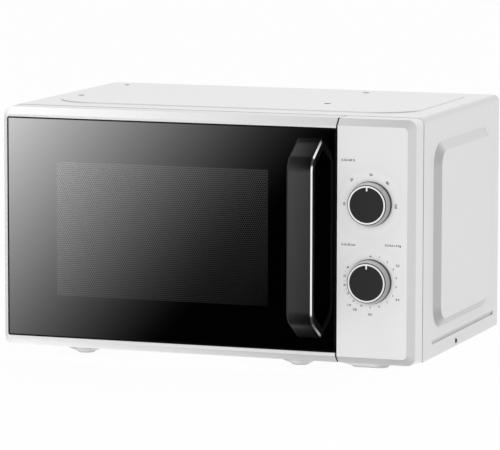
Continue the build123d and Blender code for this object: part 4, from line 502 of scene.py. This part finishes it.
def panel_painted_light(tree):
    """Share of painted light round the knobs and beside the door, against the shade of the knobs and the
    handle.
    """
    rings = []
    for height in ("timer_z", "power_z"):
        distance = axis_distance(tree, place["knob_x"] - RING_SHIFT, place[height])
        rings.append(product(tree, ramped(tree, distance, RING_REACH, RING_START), RING_SHARE))
    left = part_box("control_panel")[0][0]
    top = place["top_z"]
    across = axis_value(tree, "Object", "X")
    beside = product(tree, ramped(tree, across, left + BESIDE_REACH, left), BESIDE_SHARE)
    below = ramped(tree, axis_value(tree, "Object", "Z"), top - BESIDE_TOP, top - BESIDE_FULL)
    share = larger(tree, larger(tree, *rings), product(tree, beside, below))
    return product(tree, share, ramped(tree, across, left - EDGE_STEP, left))


def plastic_shade(tree, colour):
    """Painted light and shade: graded bevels, a greyer lip over the door glass, a panel darker toward the
    top and lighter round the knobs, and painted shadow in the seam and the gap beside the door.
    """
    low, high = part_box("door_frame")
    rise = ramped(tree, axis_value(tree, "Object", "Z"), low[2], high[2])
    on_door = ramped(tree, axis_value(tree, "Object", "X"), high[0] + EDGE_STEP, high[0])
    loss = product(tree, rise, remap(tree, on_door, PANEL_SHADE_LOSS, LIP_SHADE_LOSS))
    colour = mixed(tree, loss, colour, BLACK)
    colour = mixed(tree, panel_painted_light(tree), colour, PANEL_PAINTED_LIGHT)
    facing = size_of(tree, axis_value(tree, "Normal", "Y"))
    bevels = product(tree, ramped(tree, facing, *TILTED), ramped(tree, facing, *NOT_WALL))
    colour = mixed(tree, bevels, colour, bevel_light_and_shade(tree))
    seam = high[1] + EDGE_STEP
    behind = ramped(tree, axis_value(tree, "Object", "Y"), seam, seam + EDGE_STEP)
    return mixed(tree, gap_shadow_mask(tree), mixed(tree, behind, colour, EDGE_DARK), GAP_SHADOW)


def tilt_loss(tree, tilt, losses):
    """Share lost by the tilt of a face, between the pairs of tilt and loss in a list."""
    first = losses[0][0]
    span = losses[-1][0] - first
    ramp = tree.nodes.new("ShaderNodeValToRGB")
    elements = ramp.color_ramp.elements
    for lean, loss in losses[1:-1]:
        elements.new((lean - first) / span)
    for element, (lean, loss) in zip(elements, losses):
        element.position = (lean - first) / span
        element.color = (loss, loss, loss, 1)
    tree.links.new(ramped(tree, tilt, first, first + span), ramp.inputs["Fac"])
    return ramp.outputs["Color"]


def handle_plastic():
    """Dark grey handle with painted light and shade: lighter to the top and left, darker at its bends, its
    ends and on its sides.
    """
    mat, tree, shader = new_material("handle_plastic")
    low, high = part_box("handle_bar")
    rise = ramped(tree, axis_value(tree, "Object", "Z"), low[2], high[2])
    across = ramped(tree, axis_value(tree, "Object", "X"), low[0], high[0])
    grey = mixed(tree, across, mixed(tree, rise, *HANDLE_LEFT), mixed(tree, rise, *HANDLE_RIGHT))
    tilt = axis_value(tree, "Normal", "Z")
    grey = mixed(tree, tilt_loss(tree, tilt, BEND_SHADE_LOSSES), grey, HANDLE_SHADE_DARK)
    shaded = product(tree, ramped(tree, size_of(tree, tilt), *HANDLE_BENT), across)
    grey = mixed(tree, product(tree, shaded, TILT_RIGHT_SHADE_LOSS), grey, HANDLE_SHADE_DARK)
    depth = axis_value(tree, "Object", "Y")
    near_end = ramped(tree, depth, high[1] - HANDLE_END, high[1] - HANDLE_END / 2)
    sides = ramped(tree, size_of(tree, axis_value(tree, "Normal", "X")), *HANDLE_SIDES)
    dark = larger(tree, product(tree, near_end, HANDLE_END_SHADE_LOSS), sides)
    colour = mixed(tree, dark, grey, HANDLE_SHADE_DARK)
    dress_shader(tree, shader, colour, remap(tree, noise(tree, 700.0), 0.2, 0.28))
    tree.links.new(remap(tree, shaded, HANDLE_GLOSS, TILT_RIGHT_GLOSS), shader.inputs["Specular IOR Level"])
    return mat


def trim_shade(tree, colour):
    """Strips bright on their right front slope, with painted shade grey on the left and dark at the sides,
    the bends, the ends and under them.
    """
    low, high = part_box("handle_trims")
    tilt = axis_value(tree, "Normal", "Z")
    height = axis_value(tree, "Object", "Z")
    rise = ramped(tree, height, low[2] + TRIM_UNDER_LIGHT, low[2] + TRIM_UNDER_DARK)
    under = product(tree, ramped(tree, tilt, *TRIM_UNDER), product(tree, rise, TRIM_UNDER_SHADE_LOSS))
    loss = larger(tree, under, tilt_loss(tree, tilt, TRIM_SHADE_LOSSES))
    end = ramped(tree, axis_value(tree, "Object", "Y"), high[1] - TRIM_END, high[1] - TRIM_END / 3)
    colour = mixed(tree, larger(tree, loss, end), colour, HANDLE_SHADE_DARK)
    away = ramped(tree, axis_value(tree, "Normal", "X"), *reversed(TRIM_RIGHT))
    colour = mixed(tree, away, colour, TRIM_LEFT_SHADE)
    sides = ramped(tree, axis_value(tree, "Normal", "Y"), *TRIM_SIDES)
    return mixed(tree, sides, colour, HANDLE_SHADE_DARK)


def handle_trim():
    """Bright strips along the handle, dull on the side that faces left, where painted shade greys them."""
    bright = (0.97, 0.97, 0.97)
    mat = finish_material("handle_trim", bright, 0.25, vary=0.01, bump_height=0.004, shade=trim_shade)
    tree = mat.node_tree
    shader = tree.nodes["Principled BSDF"]
    right = ramped(tree, axis_value(tree, "Normal", "X"), *TRIM_RIGHT)
    tree.links.new(remap(tree, right, 0.0, TRIM_METAL), shader.inputs["Metallic"])
    tree.links.new(remap(tree, right, 0.0, TRIM_GLOSS), shader.inputs["Specular IOR Level"])
    return mat


def knob_skirt():
    """Satin grey skirt with painted shade to the right, a painted shadow as the dark foot at the panel, and
    a dark front edge.
    """
    mat, tree, shader = new_material("knob_skirt")
    depth = axis_value(tree, "Object", "Y")
    foot_end = place["face_y"] - SKIRT_FOOT
    edge_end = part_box("timer_knob")[0][1] + SKIRT_EDGE
    foot = ramped(tree, depth, foot_end - EDGE_STEP, foot_end)
    edge = ramped(tree, depth, edge_end, edge_end - EDGE_STEP)
    colour = mixed(tree, larger(tree, foot, edge), SKIRT_GREY, SKIRT_DARK)
    right = ramped(tree, axis_value(tree, "Normal", "X"), *SKIRT_RIGHT)
    colour = mixed(tree, product(tree, right, SKIRT_RIGHT_SHADE_LOSS), colour, BLACK)
    brushed = noise(tree, 600.0, 2.0, (1, 0.05, 1))
    dress_shader(tree, shader, colour, remap(tree, brushed, 0.3, 0.42))
    shader.inputs["Metallic"].default_value = SKIRT_METAL
    return mat


def screw_shade(tree, colour):
    """Screws in the sides of the cover dark, the others plain."""
    side = place["side_x"] - EDGE_STEP
    outer = ramped(tree, size_of(tree, axis_value(tree, "Object", "X")), side, side + EDGE_STEP)
    return mixed(tree, outer, colour, EDGE_DARK)


def hole_pattern(tree):
    """One inside a hole of the staggered mesh and zero on its web."""
    width = MESH_PITCH
    height = 2 * MESH_ROW
    point = object_vector(tree, "Object")
    nearest = []
    for shift in (0.0, 0.5):
        cells = vector_math(tree, "MULTIPLY_ADD", point, (1 / width, 0, 1 / height), (shift, 0, shift))
        within = vector_math(tree, "FRACTION", cells)
        middle = (-width / 2, 0, -height / 2)
        offset = vector_math(tree, "MULTIPLY_ADD", within, (width, 0, height), middle)
        nearest.append(vector_math(tree, "LENGTH", offset))
    least = combined(tree, "MINIMUM", *nearest)
    return ramped(tree, least, MESH_HOLE * (1 + HOLE_BLUR), MESH_HOLE * (1 - HOLE_BLUR))


def rectangle_mask(tree, low, high):
    """One inside a rectangle drawn in X and Z between two corners."""
    centre = (low + high) / 2
    half = (high - low) / 2
    offset = vector_math(tree, "SUBTRACT", object_vector(tree, "Object"), (centre.x, 0, centre.y))
    split = tree.nodes.new("ShaderNodeSeparateXYZ")
    tree.links.new(vector_math(tree, "ABSOLUTE", offset), split.inputs[0])
    inside_x = ramped(tree, split.outputs["X"], half.x, half.x - EDGE_STEP)
    inside_z = ramped(tree, split.outputs["Z"], half.y, half.y - EDGE_STEP)
    return product(tree, inside_x, inside_z)


def window_corners():
    """Lower left and upper right corner of the perforated window, in X and Z."""
    centre = Vector((place["window_x"], place["base_z"] + WINDOW_LIFT))
    return centre - WINDOW_SIZE / 2, centre + WINDOW_SIZE / 2


def mesh_gloss(tree):
    """Stronger gloss over the web of the window and weaker over its holes."""
    change = remap(tree, hole_pattern(tree), WEB_GLOSS - BASE_GLOSS, HOLE_GLOSS - BASE_GLOSS)
    window = rectangle_mask(tree, *window_corners())
    return combined(tree, "MULTIPLY_ADD", change, window, BASE_GLOSS)


def dark_glass():
    """Dark mirror glass with the perforated screen showing through, and painted light on its web that fades
    to the lower right.
    """
    mat, tree, shader = new_material("dark_glass")
    low, high = window_corners()
    across = ramped(tree, axis_value(tree, "Object", "X"), low.x, high.x)
    fall = ramped(tree, axis_value(tree, "Object", "Z"), high.y, low.y)
    web = mixed(tree, product(tree, across, fall), WEB_LIGHT, WEB_DARK)
    pattern = mixed(tree, hole_pattern(tree), web, HOLE_DARK)
    colour = mixed(tree, rectangle_mask(tree, low, high), GLASS_DARK, pattern)
    glass_low, glass_high = (Vector((x, z)) for x, y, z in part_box("door_glass"))
    border = Vector((GLASS_BORDER, GLASS_BORDER))
    inner = rectangle_mask(tree, glass_low + border, glass_high - border)
    polish = remap(tree, noise(tree, 30.0), 0.02, 0.05)
    dress_shader(tree, shader, colour, larger(tree, polish, remap(tree, inner, BORDER_ROUGHNESS, 0.0)))
    gloss = product(tree, mesh_gloss(tree), remap(tree, inner, BORDER_GLOSS, 1.0))
    tree.links.new(gloss, shader.inputs["Specular IOR Level"])
    return mat


def screen_paint():
    """Black enamel on the perforated door screen."""
    mat, tree, shader = new_material("screen_paint")
    pattern = mixed(tree, hole_pattern(tree), SCREEN_WEB, SCREEN_HOLE)
    colour = mixed(tree, rectangle_mask(tree, *window_corners()), SCREEN_BORDER, pattern)
    dress_shader(tree, shader, colour, remap(tree, noise(tree, 500.0), 0.35, 0.5))
    return mat


def clear_glass():
    """Clear oven glass with a faint green tint."""
    mat, tree, shader = new_material("clear_glass")
    tint = mixed(tree, noise(tree, 20.0), (0.86, 0.93, 0.91), (0.92, 0.97, 0.96))
    dress_shader(tree, shader, tint, remap(tree, noise(tree, 60.0), 0.02, 0.06))
    shader.inputs["Transmission Weight"].default_value = 0.92
    shader.inputs["IOR"].default_value = 1.5
    return mat


def enamel():
    """Speckled grey-white oven enamel."""
    mat, tree, shader = new_material("oven_enamel")
    specks = ramped(tree, noise(tree, 2600.0, 1.0), 0.66, 0.72)
    colour = mixed(tree, specks, (0.74, 0.74, 0.73), (0.42, 0.42, 0.42))
    dress_shader(tree, shader, colour, remap(tree, noise(tree, 700.0), 0.28, 0.42))
    bump(tree, shader, noise(tree, 900.0), 0.2, 0.02 * MM)
    return mat


def mica_sheet():
    """Layered tan mica with glittering flakes."""
    mat, tree, shader = new_material("mica_sheet")
    flakes = noise(tree, 320.0, 6.0)
    colour = mixed(tree, flakes, (0.34, 0.27, 0.18), (0.66, 0.58, 0.45))
    dress_shader(tree, shader, colour, remap(tree, flakes, 0.6, 0.25))
    return mat


def wound_copper():
    """Enamelled copper winding with turns running round the coil."""
    mat, tree, shader = new_material("wound_copper")
    turns = bands(tree, "Z", 320.0)
    colour = mixed(tree, turns, (0.24, 0.09, 0.04), (0.62, 0.30, 0.14))
    dress_shader(tree, shader, colour, remap(tree, turns, 0.5, 0.25))
    shader.inputs["Metallic"].default_value = 0.85
    bump(tree, shader, turns, 0.5, 0.2 * MM)
    return mat


def laminations():
    """Varnished steel sheets stacked along the core."""
    mat, tree, shader = new_material("laminations")
    layers = bands(tree, "Y", 300.0)
    colour = mixed(tree, layers, (0.07, 0.07, 0.075), (0.2, 0.2, 0.21))
    dress_shader(tree, shader, colour, remap(tree, layers, 0.6, 0.4))
    shader.inputs["Metallic"].default_value = 0.6
    return mat


def make_materials():
    """One material for each slot of the record, and two for nodes with a finish of their own."""
    paint = dict(colour=(0.80, 0.795, 0.797), roughness=0.42, vary=0.006)
    plastic = dict(colour=(0.865, 0.857, 0.861), roughness=0.42, vary=0.005, bump_height=0.01, specular=0.1)
    matt = dict(colour=(0.022, 0.022, 0.0225), roughness=0.5, vary=0.08, grain=1800.0, specular=0.15)
    chrome = dict(colour=(0.93, 0.93, 0.935), roughness=0.14, metallic=1.0, vary=0.01, bump_height=0.004)
    zinc = dict(colour=(0.62, 0.63, 0.64), roughness=0.38, metallic=0.9, vary=0.1, grain=220.0)
    return {
        "white_paint": finish_material("white_paint", shade=paint_shade, **paint),
        "oven_enamel": enamel(),
        "white_plastic": finish_material("white_plastic", shade=plastic_shade, **plastic),
        "black_glass": dark_glass(),
        "clear_glass": clear_glass(),
        "black_gloss": handle_plastic(),
        "black_matt": finish_material("black_matt", **matt),
        "bright_trim": finish_material("bright_trim", **chrome),
        "handle_trim": handle_trim(),
        "satin_silver": knob_skirt(),
        "zinc_steel": finish_material("zinc_steel", **zinc),
        "cover_screw": finish_material("cover_screw", shade=screw_shade, **zinc),
        "screen_steel": screen_paint(),
        "grey_plastic": finish_material("grey_plastic", (0.3, 0.3, 0.31), 0.48, vary=0.05),
        "ivory_plastic": finish_material("ivory_plastic", (0.78, 0.76, 0.68), 0.42),
        "mica": mica_sheet(),
        "copper_coil": wound_copper(),
        "core_steel": laminations(),
        "can_aluminium": finish_material("can_aluminium", (0.72, 0.72, 0.73), 0.3, 0.95, vary=0.05),
        "pad_rubber": finish_material("pad_rubber", (0.6, 0.6, 0.6), 0.7, vary=0.05),
    }


def dress_nodes(materials):
    """Gives every solid the material of its slot, and two nodes a finish of their own."""
    own = {"handle_trims": "handle_trim", "cover_screws": "cover_screw"}
    for entry in frame["record"]["subparts"]:
        mesh = frame["nodes"][entry["node"]].data
        mesh.materials.clear()
        mesh.materials.append(materials[own.get(entry["node"], entry["material_slot"])])


def linked_object(name, bm, material):
    """Object made here from a mesh, in the scene and with a material."""
    mesh = bpy.data.meshes.new(name)
    bm.to_mesh(mesh)
    bm.free()
    mesh.materials.append(material)
    obj = bpy.data.objects.new(name, mesh)
    bpy.context.scene.collection.objects.link(obj)
    return obj


def riding_object(name, bm, material, body):
    """Object made here that rides on a body."""
    obj = linked_object(name, bm, material)
    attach(obj, body)
    return obj


def on_panel(x, z, turn):
    """Place of a printed mark on the panel face, turned clockwise."""
    return Matrix.Translation((x, place["face_y"] - PRINT_LIFT, z)) @ Matrix.Rotation(turn, 4, "Y")


def add_text(bm, words, size, x, z, turn=0.0):
    """Adds raised characters on the panel face, centred on a point."""
    curve = bpy.data.curves.new("characters", "FONT")
    curve.body = words
    curve.size = size
    curve.align_x = "CENTER"
    curve.align_y = "CENTER"
    curve.resolution_u = PRINT_STEPS
    curve.extrude = PRINT_THICKNESS / 2
    curve.offset = PRINT_WEIGHT
    holder = bpy.data.objects.new("characters", curve)
    mesh = bpy.data.meshes.new_from_object(holder)
    mesh.transform(on_panel(x, z, turn) @ Matrix.Rotation(math.pi / 2, 4, "X"))
    bm.from_mesh(mesh)
    bpy.data.objects.remove(holder)
    bpy.data.curves.remove(curve)
    bpy.data.meshes.remove(mesh)


def add_tick(bm, x, z, width, height, turn):
    """Adds a small printed bar, turned about the dial's axis."""
    matrix = on_panel(x, z, turn) @ Matrix.Diagonal((width, PRINT_THICKNESS, height, 1))
    bmesh.ops.create_cube(bm, size=1, matrix=matrix)


def around(centre_x, centre_z, radius, degrees, stretch=1.0):
    """Point on a dial, clockwise from the top, on a ring that may be stretched sideways."""
    angle = math.radians(degrees)
    return centre_x + radius * stretch * math.sin(angle), centre_z + radius * math.cos(angle)


def dial_printing(ink):
    """Numbers, ticks and units on the control panel."""
    bm = bmesh.new()
    x = place["knob_x"]
    timer_z = place["timer_z"]
    power_z = place["power_z"]
    add_tick(bm, *around(x, timer_z, START_RADIUS, 0), START_DOT, START_DOT, 0)
    for index, words in enumerate(MINUTES):
        spot = around(x, timer_z, MINUTE_RADIUS, DIAL_STEP * (index + 1), MINUTE_STRETCH)
        add_text(bm, words, MINUTE_SIZE, *spot)
    for index in range(FIRST_TICK, len(MINUTES)):
        angle = DIAL_STEP * (index + 0.5)
        spot = around(x, timer_z, MINUTE_RADIUS, angle, MINUTE_STRETCH)
        add_tick(bm, *spot, TICK_WIDTH, TICK_LENGTH, math.radians(angle))
    for words, angle in WEIGHTS.items():
        add_text(bm, words, NUMBER_SIZE, *around(x, timer_z, WEIGHT_RADIUS, angle))
    for words, (angle, radius) in POWERS.items():
        add_text(bm, words, POWER_SIZE, *around(x, power_z, radius, angle), math.radians(angle))
    words, dx, dz = POWER_UNIT
    add_text(bm, words, UNIT_SIZE, x + dx, power_z + dz)
    for words, dx, dz in TIMER_UNITS:
        add_text(bm, words, UNIT_SIZE, x + dx, timer_z + dz)
    riding_object("dial_printing", bm, ink, "oven")


def coil_mesh(centre):
    """Coil of round wire that rises from a point."""
    bm = bmesh.new()
    rings = []
    steps = SPRING_STEPS * SPRING_TURNS
    for step in range(steps + 1):
        angle = 2 * math.pi * SPRING_TURNS * step / steps
        outward = Vector((math.cos(angle), math.sin(angle), 0))
        middle = centre + outward * SPRING_RADIUS + Vector((0, 0, SPRING_LENGTH * step / steps))
        ring = []
        for side in range(SPRING_SIDES):
            turn = 2 * math.pi * side / SPRING_SIDES
            around_wire = outward * math.cos(turn) + Vector((0, 0, math.sin(turn)))
            ring.append(bm.verts.new(middle + SPRING_WIRE * around_wire))
        rings.append(ring)
    for first, second in zip(rings, rings[1:]):
        for side in range(SPRING_SIDES):
            after = (side + 1) % SPRING_SIDES
            bm.faces.new((first[side], first[after], second[after], second[side]))
    bm.faces.new(rings[0])
    bm.faces.new(rings[-1][::-1])
    bmesh.ops.recalc_face_normals(bm, faces=bm.faces)
    return bm


def latch_spring(steel):
    """Coil that returns the latch bar, standing on its upper end."""
    low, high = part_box("latch_hooks")
    foot = high[2] + SPRING_WIRE + SPRING_GAP
    centre = Vector(((low[0] + high[0]) / 2, low[1] + SPRING_SET, foot))
    spring = riding_object("latch_spring", coil_mesh(centre), steel, "door")
    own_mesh(spring)


def studio_world():
    """Even studio light with a white background for the camera and for reflections."""
    world = bpy.data.worlds.new("studio")
    bpy.context.scene.world = world
    world.use_nodes = True
    tree = world.node_tree
    tree.nodes.clear()
    out = tree.nodes.new("ShaderNodeOutputWorld")
    path = tree.nodes.new("ShaderNodeLightPath")
    seen = larger(tree, path.outputs["Is Camera Ray"], path.outputs["Is Glossy Ray"])
    seen = larger(tree, seen, path.outputs["Is Transmission Ray"])
    skies = []
    for strength in (SKY, 1.0):
        sky = tree.nodes.new("ShaderNodeBackground")
        sky.inputs["Color"].default_value = (1, 1, 1, 1)
        sky.inputs["Strength"].default_value = strength
        skies.append(sky.outputs[0])
    tree.links.new(mixed_shaders(tree, seen, *skies), out.inputs["Surface"])


def studio_floor():
    """Wide pale floor that keeps a faint shadow."""
    mat, tree, surface = bare_material("pale_floor")
    diffuse = tree.nodes.new("ShaderNodeBsdfDiffuse")
    diffuse.inputs["Color"].default_value = (*FLOOR_COLOUR, 1)
    glow = tree.nodes.new("ShaderNodeEmission")
    glow.inputs["Strength"].default_value = 1.0
    path = tree.nodes.new("ShaderNodeLightPath")
    share = product(tree, path.outputs["Is Camera Ray"], FLOOR_WHITE)
    tree.links.new(mixed_shaders(tree, share, diffuse.outputs[0], glow.outputs[0]), surface)
    bm = bmesh.new()
    bmesh.ops.create_grid(bm, x_segments=1, y_segments=1, size=FLOOR_REACH)
    floor = linked_object("floor", bm, mat)


def mirrored(point, eye):
    """Where the card shows up when the eye looks at a point of the glass."""
    sight = point - eye
    reach = CARD_DISTANCE / sight.y
    return point + Vector((sight.x * reach, -CARD_DISTANCE, sight.z * reach))


def card_material(low, high):
    """Glow that falls off to the right and downward between two corners, on the card's front alone."""
    mat, tree, surface = bare_material("graded_card")
    fall_x = (GLOSS_TOP_LEFT - GLOSS_TOP_RIGHT) / (high.x - low.x)
    fall_z = (GLOSS_TOP_LEFT - GLOSS_BOTTOM_LEFT) / (high.z - low.z)
    along = vector_math(tree, "DOT_PRODUCT", object_vector(tree, "Object"), (-fall_x, 0, fall_z))
    start = GLOSS_TOP_LEFT + fall_x * low.x - fall_z * high.z
    shown = combined(tree, "ADD", along, start, clamp=True)
    glow = tree.nodes.new("ShaderNodeEmission")
    glow.inputs["Strength"].default_value = 1 / GLASS_GLOSS
    tree.links.new(combined(tree, "POWER", shown, DISPLAY_GAMMA), glow.inputs["Color"])
    behind = tree.nodes.new("ShaderNodeNewGeometry").outputs["Backfacing"]
    clear = tree.nodes.new("ShaderNodeBsdfTransparent")
    tree.links.new(mixed_shaders(tree, behind, glow.outputs[0], clear.outputs[0]), surface)
    return mat


def reflection_card(eye):
    """Graded card in front of the door that only reflections see, from the oven's side."""
    glass_low, glass_high = (Vector(corner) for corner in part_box("door_glass"))
    front = glass_low.y
    low = mirrored(Vector((glass_low.x, front, glass_low.z)), eye)
    high = mirrored(Vector((glass_high.x, front, glass_high.z)), eye)
    knob = mirrored(Vector((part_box("timer_knob")[0][0], front, glass_low.z)), eye)
    right = (high.x + knob.x) / 2
    corners = [(low.x, high.z), (right, high.z), (right, low.z), (low.x, low.z)]
    bm = bmesh.new()
    bm.faces.new([bm.verts.new((x, low.y, z)) for x, z in corners])
    card = linked_object("reflection_card", bm, card_material(low, high))
    for flag in ("visible_camera", "visible_diffuse", "visible_shadow", "visible_transmission"):
        setattr(card, flag, False)


def studio_camera():
    """Camera at the photograph's viewing angle. Gives the place of its eye."""
    data = bpy.data.cameras.new("camera")
    data.sensor_width = SENSOR
    data.lens = CAMERA_LENS
    data.clip_end = CAMERA_REACH
    camera = bpy.data.objects.new("camera", data)
    bpy.context.scene.collection.objects.link(camera)
    origin = Vector((0, place["face_y"], place["base_z"]))
    level = math.cos(CAMERA_PITCH)
    back = Vector((math.sin(CAMERA_YAW) * level, -math.cos(CAMERA_YAW) * level, math.sin(CAMERA_PITCH)))
    turn = (-back).to_track_quat("-Z", "Y").to_matrix().to_4x4()
    roll = Matrix.Rotation(CAMERA_ROLL, 4, "Z")
    camera.matrix_world = Matrix.Translation(origin + CAMERA_OFFSET) @ turn @ roll
    bpy.context.scene.camera = camera
    return camera.matrix_world.translation


def area_light(name, location, target, size, power):
    """Soft rectangular lamp aimed at a point."""
    lamp = bpy.data.lights.new(name, "AREA")
    lamp.shape = "RECTANGLE"
    lamp.size = size[0]
    lamp.size_y = size[1]
    lamp.energy = power
    obj = bpy.data.objects.new(name, lamp)
    obj.location = location
    obj.rotation_euler = (Vector(target) - Vector(location)).to_track_quat("-Z", "Y").to_euler()
    obj.visible_glossy = False
    obj.visible_camera = False
    bpy.context.scene.collection.objects.link(obj)


def studio_lamps():
    """Soft lamps in front, above and to the right, and a faint one under the oven."""
    low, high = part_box("cover")
    middle = (place["face_y"] + high[1]) / 2
    under = (high[0] - low[0], high[1] - place["face_y"])
    area_light("front", *FRONT_LAMP)
    area_light("low", (0, middle, LOW_LIFT), (0, middle, 1), under, LOW_POWER)
    area_light("top", *TOP_LAMP)
    area_light("side", *SIDE_LAMP)


bpy.context.scene.view_settings.view_transform = "Standard"
materials = make_materials()
dress_nodes(materials)
dial_printing(finish_material("panel_ink", (0.03, 0.03, 0.033), 0.5, vary=0.05))
latch_spring(materials["zinc_steel"])
studio_world()
studio_floor()
reflection_card(studio_camera())
studio_lamps()
